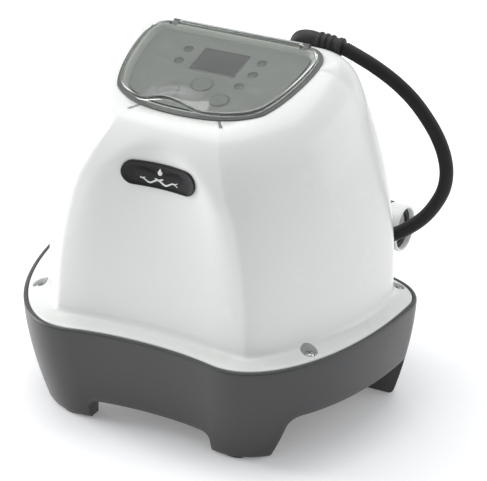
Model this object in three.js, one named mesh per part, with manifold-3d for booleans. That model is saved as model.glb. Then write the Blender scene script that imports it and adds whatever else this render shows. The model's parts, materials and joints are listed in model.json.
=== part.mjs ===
// Salt chlorine generator for an above-ground pool: a white tower on a grey four-footed base,
// a hinged smoky cover over the keypad, and a flow cell with two hose ports across the back.
// Millimetres, +Z up, the front faces -Y. The origin is on the floor, below the middle of the object.
import * as THREE from 'three';
import { mergeVertices } from 'three/addons/utils/BufferGeometryUtils.js';
import Module from 'manifold-3d';

const wasm = await Module();
wasm.setup();

// Driving dimensions
const gap = 0.3; // clearance between pieces that touch
const weldDistance = 0.02; // details smaller than this are merged after a cut or a join
const middleY = 24.75; // middle of the object's depth, measured from the middle of the base's rim
const rimHeight = 82.3; // top edge of the grey base
const shelfHeight = 75.5; // where the white housing sits inside the base
const gasketThickness = 1;
const floorTop = 41; // inside floor of the base
const archHeight = 18.5; // clear height of the front and rear arches
const footBottom = 1; // the pads stand this far out of the feet
const padThickness = 2.2;
const footInset = 16; // how far the feet stand inside the rim
const towerFoot = 89.5; // where the tower rises out of the ledge
const skin = 3; // housing wall
const rimLip = 3.2; // width of the base's visible edge

const panelTilt = THREE.MathUtils.degToRad(14.2);
const panelCentre = new THREE.Vector3(0, 32.4, 259.1); // middle of the display
const hinge = { back: 35.6, height: 2.8, barrel: 2.1, pin: 0.9, halfLength: 51.5, earX: 54.6 };

const cell = { y: 120, z: 111, radius: 18, bore: 14.5, spigot: 14, spigotBore: 12, halfLength: 100.6 };
const portFace = 115; // mouth of a union nut
const head = { x: -25, collar: 22, bore: 17, ringTop: 147, ringRadius: 24 };
const elbow = { x: 37.5, y: 86, foot: 256.6, radius: 6.6 };
const cableRadius = 5.3;
const caseScrews = { x: 114.2, frontY: -45.6, rearX: 128.5, rearY: 76, seat: 80.8 };

// Colours, roughness and metalness of the finishes
const finishes = {
  white: [0xeeeeec, 0.32, 0],
  grey: [0x6a6a6c, 0.55, 0],
  rubber: [0x2a2a2b, 0.85, 0],
  cableBlack: [0x242424, 0.6, 0],
  steel: [0xb8babd, 0.25, 1],
  bezel: [0xa9aea9, 0.4, 0],
  membrane: [0x8a918b, 0.55, 0],
  lens: [0x6c716c, 0.3, 0],
  display: [0x6a676a, 0.2, 0],
  smoke: [0x9aa09c, 0.12, 0],
  board: [0x1f5c3a, 0.6, 0],
  copper: [0xa8622c, 0.4, 1],
  ironCore: [0x55585c, 0.5, 1],
  aluminium: [0xaeb2b6, 0.4, 1],
  titanium: [0x83837f, 0.35, 1],
  badgeBlack: [0x161617, 0.2, 0],
};

// Solids ------------------------------------------------------------------------------

function solidOf(geometry) {
  const bare = geometry.clone();
  bare.deleteAttribute('normal');
  bare.deleteAttribute('uv');
  const merged = mergeVertices(bare, 1e-3);
  const vertProperties = new Float32Array(merged.attributes.position.array);
  const triVerts = new Uint32Array(merged.index.array);
  return new wasm.Manifold(new wasm.Mesh({ numProp: 3, vertProperties, triVerts }));
}

function geometryOf(solid) {
  const mesh = solid.simplify(weldDistance).getMesh();
  const geometry = new THREE.BufferGeometry();
  geometry.setAttribute('position', new THREE.BufferAttribute(mesh.vertProperties, 3));
  geometry.setIndex(new THREE.BufferAttribute(mesh.triVerts, 1));
  geometry.computeVertexNormals();
  return geometry;
}

function cut(body, ...tools) {
  return geometryOf(tools.reduce((left, tool) => left.subtract(solidOf(tool)), solidOf(body)));
}

function join(body, ...others) {
  return geometryOf(others.reduce((whole, other) => whole.add(solidOf(other)), solidOf(body)));
}

function common(body, other) {
  return geometryOf(solidOf(body).intersect(solidOf(other)));
}

// A box by its size and its middle
function block(size, middle) {
  return new THREE.BoxGeometry(...size).translate(...middle);
}

// A cylinder or cone along x, y or z, by its middle
function drum(radius, length, axis, middle, sides = 20, farRadius = radius) {
  const geometry = new THREE.CylinderGeometry(farRadius, radius, length, sides);
  if (axis === 'z') geometry.rotateX(Math.PI / 2);
  if (axis === 'x') geometry.rotateZ(-Math.PI / 2);
  return geometry.translate(...middle);
}

// A body of revolution about z from a profile of [radius, height] pairs, listed upwards on the outside
function turned(profile, sides = 20) {
  const points = profile.map(([radius, height]) => new THREE.Vector2(radius, height));
  return new THREE.LatheGeometry(points, sides).rotateX(Math.PI / 2);
}

// A flat outline raised along z between two heights
function raised(points, low, high) {
  const shape = new THREE.Shape(points);
  const geometry = new THREE.ExtrudeGeometry(shape, { depth: high - low, bevelEnabled: false });
  return geometry.translate(0, 0, low);
}

// A closed body through rings of points, listed upwards, each ring anticlockwise seen from above
function loft(rings) {
  const count = rings[0].length;
  const points = rings.flat();
  const indices = [];
  for (let level = 0; level < rings.length - 1; level += 1) {
    for (let i = 0; i < count; i += 1) {
      const next = (i + 1) % count;
      const a = level * count;
      const b = a + count;
      indices.push(a + i, a + next, b + next, a + i, b + next, b + i);
    }
  }
  const middleOf = (ring) => ring.reduce((sum, p) => sum.add(p), new THREE.Vector3()).divideScalar(count);
  const bottom = points.push(middleOf(rings[0])) - 1;
  const top = points.push(middleOf(rings.at(-1))) - 1;
  const last = (rings.length - 1) * count;
  for (let i = 0; i < count; i += 1) {
    const next = (i + 1) % count;
    indices.push(bottom, next, i, top, last + i, last + next);
  }
  const geometry = new THREE.BufferGeometry().setFromPoints(points);
  geometry.setIndex(indices);
  return geometry;
}

// A round section swept along a smooth curve through the points
function swept(points, radius, sides, steps) {
  const section = new THREE.Shape().absarc(0, 0, radius, 0, Math.PI * 2);
  const path = new THREE.CatmullRomCurve3(points.map((p) => new THREE.Vector3(...p)), false, 'centripetal');
  const options = { steps, curveSegments: sides / 2, extrudePath: path, bevelEnabled: false };
  const polygon = new THREE.Shape(section.getPoints(sides / 2).slice(0, -1));
  return new THREE.ExtrudeGeometry(polygon, { ...options });
}

// Plan outlines -----------------------------------------------------------------------

// Half of an outline from the middle of the front, round the crease and the side, to the middle of the
// back, then its mirror image: a dished front, soft creases, bowed sides and round rear corners.
function planPoints(plan, detail = 1) {
  const { frontY, creaseX, creaseY, soft, sideX, sideY, rearX, rearY, backY } = plan;
  const at = (x, y) => new THREE.Vector2(x, y);
  const span = sideX - creaseX;
  const crease = at(creaseX, creaseY);
  const before = crease.clone().sub(at(creaseX / 2, frontY)).setLength(-soft).add(crease);
  const after = at(1, 0.1).setLength(soft).add(crease);
  const side = at(sideX, sideY);
  const rear = at(rearX, rearY);
  const cornerReach = (sideX - rearX) * 0.6;
  const runs = [
    [new THREE.QuadraticBezierCurve(at(0, frontY), at(creaseX / 2, frontY), before), 4],
    [new THREE.QuadraticBezierCurve(before, crease, after), 2],
    [new THREE.CubicBezierCurve(after, at(creaseX + span * plan.swell, creaseY + 2),
      at(sideX - plan.flare, sideY - plan.reach), side), 10],
    [new THREE.CubicBezierCurve(side, at(sideX, sideY + cornerReach * 0.75),
      at(rearX + cornerReach, rearY - plan.rearRise), rear), 5],
    [new THREE.CubicBezierCurve(rear, at(rearX * 0.7, rearY + plan.rearRise), at(rearX * 0.35, backY),
      at(0, backY)), 4],
  ];
  const right = [];
  for (const [curve, divisions] of runs) {
    const points = curve.getPoints(Math.max(1, Math.round(divisions * detail)));
    right.push(...points.slice(right.length ? 1 : 0));
  }
  const left = right.slice(1, -1).reverse().map((p) => at(-p.x, p.y));
  return [...right, ...left];
}

function insetPlan(plan, inset) {
  return {
    ...plan,
    frontY: plan.frontY + inset,
    creaseX: plan.creaseX - inset * 0.5,
    creaseY: plan.creaseY + inset,
    sideX: plan.sideX - inset,
    rearX: plan.rearX - inset * 0.6,
    rearY: plan.rearY - inset,
    backY: plan.backY - inset,
  };
}

const rimPlan = {
  frontY: -89.5, creaseX: 66, creaseY: -97.3, soft: 7, swell: 0.52,
  sideX: 150.6, sideY: 58, flare: 2.5, reach: 92,
  rearX: 112, rearY: 96, rearRise: 5, backY: 104,
};

// The tower's outline at a height: it narrows upwards faster and faster, and its creases close in
function towerPlan(height) {
  const rise = height - towerFoot;
  const creaseClose = (rise / 141) ** 2;
  const sideClose = (Math.max(0, height - 110) / 150) ** 2;
  const sideX = 134.5 - 34 * sideClose;
  return {
    frontY: -73.2 + 0.119 * rise,
    creaseX: 65 - 29.5 * creaseClose,
    creaseY: -77.5 + 0.07 * rise,
    soft: 4,
    swell: 0.43,
    sideX,
    sideY: 50,
    flare: 0,
    reach: 55,
    rearX: sideX - 34,
    rearY: 81,
    rearRise: 0.6,
    backY: 82.6,
  };
}

function ringAt(points, height) {
  return points.map((p) => new THREE.Vector3(p.x, p.y, height));
}

function roofHeight(y, lift) {
  return panelCentre.z + lift + (y - panelCentre.y) * Math.tan(panelTilt);
}

// Rings of the tower's wall and of the rolled edge of its roof, both set in by the same amount
function towerRings(inset, wallLevels, rollSteps, detail) {
  const planAt = (height) => planPoints(insetPlan(towerPlan(height), inset), detail);
  const lift = 0.3 - inset / Math.cos(panelTilt);
  const count = planAt(towerFoot).length;
  const rings = Array.from({ length: wallLevels + rollSteps }, () => []);
  const corners = [];
  for (let i = 0; i < count; i += 1) {
    let corner = planAt(250)[i];
    for (let pass = 0; pass < 3; pass += 1) corner = planAt(roofHeight(corner.y, lift))[i];
    corners.push(corner);
  }
  for (let i = 0; i < count; i += 1) {
    const corner = corners[i];
    const along = corners[(i + 1) % count].clone().sub(corners[(i + count - 1) % count]).normalize();
    const towardsBack = THREE.MathUtils.smoothstep(-along.x, 0.1, 0.85);
    const radius = 30 - 15 * towardsBack - Math.max(0, inset) * 0.8;
    const top = roofHeight(corner.y, lift);
    for (let level = 0; level < wallLevels; level += 1) {
      const height = THREE.MathUtils.lerp(towerFoot, top - radius, level / (wallLevels - 1));
      const p = planAt(height)[i];
      rings[level].push(new THREE.Vector3(p.x, p.y, height));
    }
    const start = rings[wallLevels - 1][i];
    const edge = new THREE.Vector3(corner.x, corner.y, top);
    const end = new THREE.Vector3(corner.x - along.y * radius, corner.y + along.x * radius, 0);
    end.z = roofHeight(end.y, lift);
    const handles = [start, end].map((p) => p.clone().lerp(edge, 0.56));
    const roll = new THREE.CubicBezierCurve3(start, ...handles, end);
    for (let step = 1; step <= rollSteps; step += 1) {
      rings[wallLevels + step - 1].push(roll.getPoint(step / rollSteps));
    }
  }
  return rings;
}

// Base --------------------------------------------------------------------------------

// How far the base's wall leans in at a height
function baseLean(height) {
  return footInset * ((rimHeight - height) / rimHeight) ** 1.6;
}

function baseRing(height, inset, detail) {
  return ringAt(planPoints(insetPlan(rimPlan, baseLean(height) + inset), detail), height);
}

// The arch between the feet, cut from the front to the back
function frontArch() {
  const halfWidth = 52;
  const corner = 7;
  const shape = new THREE.Shape();
  shape.moveTo(-halfWidth, -1);
  shape.lineTo(halfWidth, -1);
  shape.lineTo(halfWidth, archHeight - corner);
  shape.absarc(halfWidth - corner, archHeight - corner, corner, 0, Math.PI / 2);
  shape.absarc(corner - halfWidth, archHeight - corner, corner, Math.PI / 2, Math.PI);
  shape.closePath();
  return archBody(shape);
}

// The taller arch below the sides: it falls a little towards the back, and both ends lean outwards
function sideArch() {
  const shape = new THREE.Shape();
  shape.moveTo(-68.5, -1);
  shape.lineTo(58, -1);
  shape.lineTo(63, 24);
  shape.quadraticCurveTo(64.5, 32.5, 55, 33);
  shape.lineTo(-56, 37.2);
  shape.quadraticCurveTo(-65.4, 37.6, -66.4, 29);
  shape.closePath();
  return archBody(shape).rotateZ(Math.PI / 2);
}

function archBody(shape) {
  const geometry = new THREE.ExtrudeGeometry(shape, { depth: 320, bevelEnabled: false, curveSegments: 5 });
  return geometry.translate(0, 0, -160).rotateX(Math.PI / 2);
}

function screwSpots() {
  const { x, frontY, rearX, rearY } = caseScrews;
  return [['front_left', -x, frontY], ['front_right', x, frontY], ['rear_left', -rearX, rearY],
    ['rear_right', rearX, rearY]];
}

function baseHousing() {
  const walls = [footBottom + 3, 9, 17, 28, 44, 62, rimHeight - 0.8];
  const rings = [
    baseRing(footBottom, 2.4),
    baseRing(footBottom + 0.9, 0.7),
    ...walls.map((height) => baseRing(height, 0)),
    baseRing(rimHeight, 0.8),
  ];
  const cavityHeights = [floorTop, 58, shelfHeight + 0.1];
  const cavity = loft(cavityHeights.map((height) => baseRing(height, 4 + (height > 70 ? 5 : 0), 0.5)));
  const pocketTop = [shelfHeight, rimHeight + 2];
  const pocket = loft(pocketTop.map((height) => ringAt(planPoints(insetPlan(rimPlan, rimLip)), height)));
  const postLength = 30;
  const postMiddle = shelfHeight - postLength / 2;
  const posts = screwSpots().map(([, x, y]) => drum(5.2, postLength, 'z', [x, y, postMiddle], 12));
  const bodies = join(cut(loft(rings), cavity, pocket), ...posts);
  const pilots = screwSpots().map(([, x, y]) => drum(2, 24, 'z', [x, y, 73], 10));
  const glandHole = drum(7, 40, 'y', [-62, 85, 52], 16);
  const padPockets = pads.map(([, ...place]) => padShape(...place, gap, -1, padThickness + gap));
  return cut(bodies, frontArch(), sideArch(), glandHole, ...pilots, ...padPockets);
}

// Rubber pads let into the feet: name, x, y, half length, half depth
const pads = [['front_left', -68, -74.9, 9, 4.2], ['front_right', 68, -74.9, 9, 4.2],
  ['rear_left', -88, 72.5, 11, 7.5], ['rear_right', 88, 72.5, 11, 7.5]];

function padShape(x, y, halfLength, halfDepth, slack, low, high) {
  const shape = new THREE.Shape();
  shape.absellipse(x, y, halfLength + slack, halfDepth + slack, 0, Math.PI * 2);
  return raised(shape.getPoints(9).slice(0, -1), low, high);
}

// Housing -----------------------------------------------------------------------------

function upperHousing() {
  const edge = insetPlan(rimPlan, rimLip + gap);
  const tower = towerRings(0, 6, 4, 1);
  const foot = planPoints(towerPlan(towerFoot));
  const outer = planPoints(edge);
  const blend = (share) => outer.map((p, i) => p.clone().lerp(foot[i], share));
  const rings = [
    ringAt(outer, shelfHeight + gasketThickness + gap * 2),
    ringAt(outer, rimHeight - 0.6),
    ringAt(blend(0.08), rimHeight + 0.5),
    ringAt(blend(0.5), 84.8),
    ringAt(blend(0.86), 87.3),
    ringAt(blend(0.96), 88.2),
    ...tower,
  ];
  const inside = towerRings(skin, 4, 2, 0.5);
  inside.unshift(ringAt(planPoints(insetPlan(towerPlan(towerFoot), skin + 0.5), 0.5), shelfHeight - 2));
  const hollow = loft(inside);
  const well = toPanel(raised(panelOutline(1.4), -30, 12));
  const holes = screwSpots().flatMap(([, x, y]) => [
    drum(5.6, 12, 'z', [x, y, caseScrews.seat + 6], 18),
    drum(2.2, 30, 'z', [x, y, 78], 10),
  ]);
  const boss = drum(12, 30, 'z', [elbow.x, elbow.y - 2, 236], 18);
  const bossTip = drum(2, 24, 'z', [elbow.x, elbow.y - 10, 209], 18, 12);
  const socketHole = drum(8.3, 60, 'z', [elbow.x, elbow.y, 256], 20);
  const socketSeat = drum(10.2, 40, 'z', [elbow.x, elbow.y, 251.2 + 20], 20);
  const shell = cut(join(loft(rings), boss, bossTip), hollow, well, socketHole, socketSeat);
  return cut(shell, ...holes);
}

function baseGasket() {
  const ring = (inset) => planPoints(insetPlan(rimPlan, inset));
  const low = shelfHeight + gap;
  const outer = raised(ring(rimLip + gap), low, low + gasketThickness);
  return cut(outer, raised(ring(rimLip + 3), low - 1, low + 2));
}

function caseScrew() {
  const profile = [[0, -14], [1.7, -12.5], [1.7, 0.3], [4.3, 0.3], [4.3, 1.3], [2.8, 2.7], [0, 3]];
  const screw = turned(profile, 12);
  const slots = [block([4.4, 0.9, 1.8], [0, 0, 2.5]), block([0.9, 4.4, 1.8], [0, 0, 2.5])];
  return cut(screw, ...slots);
}

// An oval plate that follows the dished front
function badge() {
  const shape = new THREE.Shape();
  shape.absarc(22.6, 0, 9.3, -Math.PI / 2, Math.PI / 2);
  shape.absarc(-22.6, 0, 9.3, Math.PI / 2, Math.PI * 1.5);
  const pill = new THREE.ExtrudeGeometry(shape, { depth: 40, bevelEnabled: false, curveSegments: 8 });
  pill.rotateX(Math.PI / 2).translate(0, -45, 205.6);
  const outside = loft(towerRings(-2, 6, 4, 1));
  const inside = loft(towerRings(-gap, 6, 4, 1));
  return cut(common(pill, outside), inside);
}

// Control panel -----------------------------------------------------------------------

// Turns a piece drawn flat, back towards +y, into the tilted control panel
function toPanel(geometry) {
  return geometry.rotateX(panelTilt).translate(panelCentre.x, panelCentre.y, panelCentre.z);
}

// The panel's outline: a straight back, round shoulders, sides that close in and a bowed front
function panelOutline(inset, back = 36) {
  const at = (x, y) => new THREE.Vector2(x, y);
  const backY = back - inset;
  const frontY = -66 + inset;
  const runs = [
    [new THREE.CubicBezierCurve(at(0, frontY), at(24, frontY), at(47 - inset * 0.4, -62 + inset * 0.8),
      at(58.8 - inset * 0.8, -48 + inset * 0.4)), 7],
    [new THREE.CubicBezierCurve(at(58.8 - inset * 0.8, -48 + inset * 0.4), at(67.3 - inset, -34),
      at(72.8 - inset, -4), at(72.3 - inset, 17)), 6],
    [new THREE.CubicBezierCurve(at(72.3 - inset, 17), at(71.8 - inset, 29 - inset * 0.3),
      at(65.3 - inset * 0.5, backY), at(55 - inset * 0.3, backY)), 5],
  ];
  const right = [];
  for (const [curve, divisions] of runs) {
    right.push(...curve.getPoints(divisions).slice(right.length ? 1 : 0));
  }
  const left = right.slice(1).reverse().map((p) => at(-p.x, p.y));
  return [...right, ...left];
}

const displaySize = [37.4, 27.8];
// Name, x and y in the panel, and for a key its radius
const indicators = [
  ['indicator_power', -30.8, 8.6],
  ['indicator_pump', -30.8, -6.4],
  ['indicator_high', 30.8, 8.6],
  ['indicator_low', 30.8, -6.4],
  ['indicator_service', 27.5, -22.2],
];
const keys = [
  ['key_power', 0, -28.6, 8.6],
  ['key_timer', -21, -42, 7.6],
  ['key_boost', 21, -42, 7.6],
];
const lensRadius = 3.5;
// Finger lift at the front of the cover
const wave = { x: -8, y: -61, halfWidth: 21.5, depth: 22, height: 6.6, wall: 2.2 };
const keypadTop = -0.6;
const keypadBottom = -2.2;
const trayBottom = -4.6;

function openings(low, high, slack) {
  const middle = (low + high) / 2;
  const [width, depth] = displaySize;
  const display = block([width + slack * 2, depth + slack * 2, high - low], [0, 0, middle]);
  const lenses = indicators.map(([, x, y]) => drum(lensRadius + slack, high - low, 'z', [x, y, middle], 12));
  return [display, ...lenses];
}

function keyHoles(low, high, slack, stem) {
  const middle = (low + high) / 2;
  return keys.map(([, x, y, radius]) => drum((stem || radius) + slack, high - low, 'z', [x, y, middle], 16));
}

function panelBezel() {
  const flange = raised(panelOutline(-1.8), 0.6, 1.3);
  const tray = raised(panelOutline(1.8), trayBottom, 1.3);
  const well = raised(panelOutline(4.2), keypadBottom - gap, 4);
  const ear = (x) => join(
    drum(hinge.barrel, 5, 'x', [x, hinge.back, hinge.height], 12),
    block([5, hinge.barrel * 2, 2], [x, hinge.back, hinge.height - 1]),
  );
  const trough = drum(hinge.barrel + gap, hinge.halfLength * 2 + 1, 'x', [0, hinge.back, hinge.height], 12);
  const pinHole = drum(hinge.pin + gap, 140, 'x', [0, hinge.back, hinge.height], 8);
  const bottom = openings(trayBottom - 1, 0, -1.2);
  const body = cut(join(flange, tray), well, ...bottom, ...keyHoles(trayBottom - 1, 0, gap, 3));
  return toPanel(cut(join(cut(body, trough), ear(-hinge.earX), ear(hinge.earX)), pinHole));
}

function keypadOverlay() {
  const sheet = raised(panelOutline(8.4), keypadBottom, keypadTop);
  return toPanel(cut(sheet, ...openings(keypadBottom - 1, 1, gap), ...keyHoles(keypadBottom - 1, 1, gap)));
}

function displayWindow() {
  return toPanel(block([displaySize[0], displaySize[1], 1.4], [0, 0, keypadTop - 0.6]));
}

function indicatorLens(x, y) {
  const low = keypadBottom;
  const high = keypadTop + 0.2;
  return toPanel(drum(lensRadius, high - low, 'z', [x, y, (high + low) / 2], 12));
}

function keyCap(x, y, radius) {
  const travel = 0.6;
  const profile = [[0, trayBottom - 0.6], [3, trayBottom - 0.6], [3, keypadBottom + travel + gap],
    [radius, keypadBottom + travel + gap], [radius, keypadTop + 0.2], [radius - 0.8, keypadTop + 0.6],
    [0, keypadTop + 0.6]];
  return toPanel(turned(profile, 16).translate(x, y, 0));
}

function panelCover() {
  const low = 1.6;
  const plateLow = 2.9;
  const high = 4.9;
  const backEdge = hinge.back - hinge.barrel - 1;
  const blank = raised(panelOutline(1.6), low, high);
  const inside = raised(panelOutline(3.8, 41), low - 1, plateLow);
  const behind = block([150, 20, 12], [0, backEdge + 10, high]);
  const lump = new THREE.SphereGeometry(1, 16, 10);
  const { halfWidth, depth, height, wall } = wave;
  const bulge = lump.clone().scale(halfWidth, depth, height).translate(wave.x, wave.y, 3);
  const scoop = lump.clone().scale(halfWidth - wall, depth - wall, height - wall + 0.3);
  scoop.translate(wave.x, wave.y, 2.7);
  const beyond = block([80, 40, 30], [wave.x, -64.5 - 20, 5]);
  const lowerHalf = block([80, 80, 12], [wave.x, -60, plateLow + 0.2 - 6]);
  const lift = cut(bulge, beyond, lowerHalf);
  const barrel = drum(hinge.barrel, hinge.halfLength * 2, 'x', [0, hinge.back, hinge.height], 12);
  const web = block([hinge.halfLength * 2 - 4, 4.4, 1.7], [0, hinge.back - 2.2, high - 0.85]);
  const webTrim = block([150, 6, 3], [0, hinge.back + 3, high + 1.5]);
  const pinHole = drum(hinge.pin + gap, 140, 'x', [0, hinge.back, hinge.height], 8);
  const plate = join(cut(blank, inside, behind), lift, barrel, web);
  const notch = block([halfWidth * 2 - 6, 9, 6], [wave.x, -63.4, low - 1.4]);
  const earRoom = [-1, 1].map((side) => block([6.2, 13, 20], [side * hinge.earX, hinge.back, hinge.height]));
  return toPanel(cut(plate, scoop, notch, webTrim, pinHole, ...earRoom));
}

function hingePin() {
  return toPanel(drum(hinge.pin, 113.4, 'x', [0, hinge.back, hinge.height], 8));
}

// Electronics -------------------------------------------------------------------------

const boardTop = -11.5;

function controlBoard() {
  return toPanel(block([104, 66, 1.6], [0, -8, boardTop - 0.8]));
}

function displayModule() {
  return toPanel(block([34, 24, 5], [0, 0, boardTop + gap + 2.5]));
}

function tactSwitch(x, y) {
  const body = block([6.2, 6.2, 3.4], [x, y, boardTop + gap + 1.7]);
  return toPanel(join(body, drum(1.7, 2.2, 'z', [x, y, boardTop + gap + 4], 12)));
}

const powerBoardFace = floorTop + 10.8;

function powerBoard() {
  return block([110, 60, 1.6], [26, 30, powerBoardFace - 0.8]);
}

function transformerCore() {
  const outside = block([62, 34, 52], [-64, 12, floorTop + gap + 26]);
  const windows = [-12, 12].map((x) => block([12, 40, 30], [-64 + x, 12, floorTop + gap + 26]));
  return cut(outside, ...windows);
}

function transformerWinding() {
  const outside = block([33, 50, 28], [-64, 12, floorTop + gap + 26]);
  return cut(outside, block([12.6, 34.6, 40], [-64, 12, floorTop + gap + 26]));
}

function heatSink() {
  const tools = [];
  for (let i = 0; i < 6; i += 1) tools.push(block([3.4, 30, 30], [48.4 + i * 6.2, 34, powerBoardFace + 28]));
  return cut(block([40, 20, 34], [64, 34, powerBoardFace + gap + 17]), ...tools);
}

function capacitor() {
  return drum(9, 28, 'z', [18, 18, powerBoardFace + gap + 14], 18);
}

function relay() {
  return block([16, 20, 15], [-12, 40, powerBoardFace + gap + 7.5]);
}

// Gland for the supply lead, in the back wall of the base
function mainsGland() {
  const profile = [[0, 0], [6.6, 0], [6.6, 9.5], [9.5, 9.5], [9.5, 14], [7.6, 15], [6, 24], [3.8, 24],
    [3.8, 6], [0, 6]];
  const nut = turned(profile, 18);
  return nut.rotateX(-Math.PI / 2).translate(-62, 90.6, 52);
}

// Cell cable --------------------------------------------------------------------------

function cableSocket() {
  const top = elbow.foot - gap;
  const profile = [[0, 240], [8, 240], [8, 251.5], [9.6, 251.5], [9.6, top], [0, top]];
  return turned(profile, 20).translate(elbow.x, elbow.y, 0);
}

// Right-angle plug with a ribbed grip and an end collar
function plugElbow() {
  const straight = { x: 57, z: 267.9 };
  const route = [[elbow.x, elbow.y, elbow.foot], [elbow.x, elbow.y, 261.5], [elbow.x + 1.9, elbow.y, 266.2],
    [elbow.x + 6.5, elbow.y, 268.1], [straight.x, elbow.y, straight.z], [72, elbow.y, 266.4]];
  const body = swept(route, elbow.radius, 10, 12);
  const tilt = Math.atan2(1.5, 15);
  const ring = (x, radius, length) => drum(radius, length, 'x', [0, 0, 0], 12)
    .rotateY(tilt).translate(x, elbow.y, straight.z - (x - straight.x) * Math.tan(tilt));
  const ribs = [56, 60.5, 65].map((x) => ring(x, 7.2, 2.2));
  return join(body, ...ribs, ring(72.5, 7.6, 5));
}

// Middle line of the cable, from the plug over the side and behind the tower to the head of the cell
const cableRoute = [
  [76.4, 86, 265.6], [86.5, 86, 262], [101, 86.8, 255.5], [117, 87.7, 246.2], [131, 88.5, 235],
  [142.5, 89.5, 221.5], [151, 90.5, 208], [156.5, 91.5, 194], [158.8, 92, 180], [157, 92.5, 166],
  [150.5, 93, 151.5], [141.5, 93, 138.6], [130, 93, 127.6], [117.5, 93, 118.8], [105, 93, 113.6],
  [91, 93, 113], [76, 93.5, 117.2], [62, 94.6, 125], [49, 96.4, 134.5], [36.5, 99, 143.5],
  [24.5, 102.3, 150], [12.7, 106.3, 153.5],
];

function cellCable() {
  return swept(cableRoute, cableRadius, 8, 44);
}

// Flow cell ---------------------------------------------------------------------------

// Turned about the cell's own axis, from a profile of [radius, x]
function alongCell(profile, sides) {
  return turned(profile, sides).rotateY(Math.PI / 2).translate(0, cell.y, cell.z);
}

function flowCellBody() {
  const { radius, bore, spigot, spigotBore, halfLength } = cell;
  const spigotEnd = halfLength + 7.6;
  const half = [[radius, 0], [radius, 88], [radius + 1.3, 90], [radius + 1.3, halfLength],
    [spigot, halfLength], [spigot, spigotEnd]];
  const mirror = half.slice(1).reverse().map(([r, x]) => [r, -x]);
  const tube = alongCell([[0, -spigotEnd], ...mirror, ...half, [0, spigotEnd]], 20);
  const collar = drum(head.collar, 135 - cell.z, 'z', [head.x, cell.y, (135 + cell.z) / 2], 20);
  const through = drum(spigotBore, 300, 'x', [0, cell.y, cell.z], 16);
  const chamber = drum(bore, 172, 'x', [0, cell.y, cell.z], 16);
  const shaft = drum(head.bore, 40, 'z', [head.x, cell.y, 120 + 11], 20);
  const switchHole = drum(7, 20, 'z', [paddle.x, cell.y, 128], 16);
  return cut(join(tube, collar), through, chamber, shaft, switchHole);
}

function unionNut(side) {
  const inner = cell.spigot + 0.4;
  const low = cell.halfLength + gap;
  const profile = [[inner, low], [18.2, low], [18.5, low + 0.8], [18.5, portFace - 1], [17.8, portFace],
    [16.6, portFace], [16.3, portFace - 0.8], [16.3, low + 8], [inner, low + 8], [inner, low]];
  const nut = alongCell(profile, 20);
  return side < 0 ? nut.rotateZ(Math.PI).translate(0, cell.y * 2, 0) : nut;
}

function portSeal(side) {
  const low = cell.halfLength + 7.6 + 1;
  const profile = [[12.2, low], [15.8, low], [15.8, low + 2], [12.2, low + 2], [12.2, low]];
  const seal = alongCell(profile, 16);
  return side < 0 ? seal.rotateZ(Math.PI).translate(0, cell.y * 2, 0) : seal;
}

function electrodeHead() {
  const profile = [[0, 124], [head.bore - 0.5, 124], [head.bore - 0.5, 128], [head.bore - 2.4, 128],
    [head.bore - 2.4, 131.4], [head.bore - 0.5, 131.4], [head.bore - 0.5, 135 + gap],
    [21, 135 + gap], [21, 139.4], [head.bore, 139.4], [head.bore, 168], [14, 172.5], [8, 174.5],
    [0, 174.5]];
  const body = turned(profile, 20).translate(head.x, cell.y, 0);
  const outlet = glandPiece(drum(8, 22, 'x', [11, 0, 0], 16));
  return join(body, outlet);
}

// Places a piece drawn along +x from the head's axis on the cable's way out of the head
function glandPiece(geometry) {
  const sag = THREE.MathUtils.degToRad(12);
  const swing = THREE.MathUtils.degToRad(-20);
  return geometry.rotateY(sag).rotateZ(swing).translate(head.x, cell.y, 162);
}

function cellGland() {
  const solid = turned([[0, 22.4], [8, 22.4], [8, 27], [6.9, 30], [6.6, 39], [0, 40.2]], 16);
  return glandPiece(solid.rotateY(Math.PI / 2));
}

function cellSeal() {
  const profile = [];
  for (let i = 0; i <= 6; i += 1) {
    const angle = (i / 6) * Math.PI * 2;
    profile.push([head.bore - 1.35 + Math.cos(angle) * 0.75, 129.7 + Math.sin(angle) * 1.2]);
  }
  return turned(profile, 16).translate(head.x, cell.y, 0);
}

function lockRing() {
  const outer = head.ringRadius + 2.4;
  const profile = [[head.collar + gap, 129.6], [outer - 0.8, 129.6], [outer, 130.4],
    [outer, head.ringTop - 1.5], [outer - 1.5, head.ringTop], [head.bore + 0.6, head.ringTop],
    [head.bore + 0.6, 139.4 + gap], [head.collar + gap, 139.4 + gap], [head.collar + gap, 129.6]];
  const ring = turned(profile, 24);
  const grips = [];
  for (let i = 0; i < 8; i += 1) {
    const grip = drum(1.8, 30, 'z', [outer + 0.8, 0, 136], 6);
    grips.push(grip.rotateZ((i / 8) * Math.PI * 2));
  }
  return cut(ring, ...grips).translate(head.x, cell.y, 0);
}

function electrodePlate(offset) {
  return block([29, 1, 22.6], [head.x, cell.y + offset, 112.3]);
}

// Saddle that carries the cell's pipe off the back wall
function cellSaddle(x) {
  const shape = new THREE.Shape();
  const radius = cell.radius + gap;
  shape.moveTo(85, 92);
  shape.lineTo(100, 89.4);
  shape.lineTo(120, 88.4);
  shape.lineTo(134, 91);
  shape.lineTo(138.5, 97);
  shape.lineTo(cell.y + radius * Math.cos(-0.5), cell.z + radius * Math.sin(-0.5));
  shape.absarc(cell.y, cell.z, radius, -0.5, -2.64, true);
  shape.lineTo(100.5, 99);
  shape.lineTo(85, 101);
  shape.closePath();
  const options = { depth: 13, bevelEnabled: false, curveSegments: 10 };
  const saddle = new THREE.ExtrudeGeometry(shape, options);
  return saddle.rotateX(Math.PI / 2).rotateZ(Math.PI / 2).translate(x - 6.5, 0, 0);
}

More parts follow.
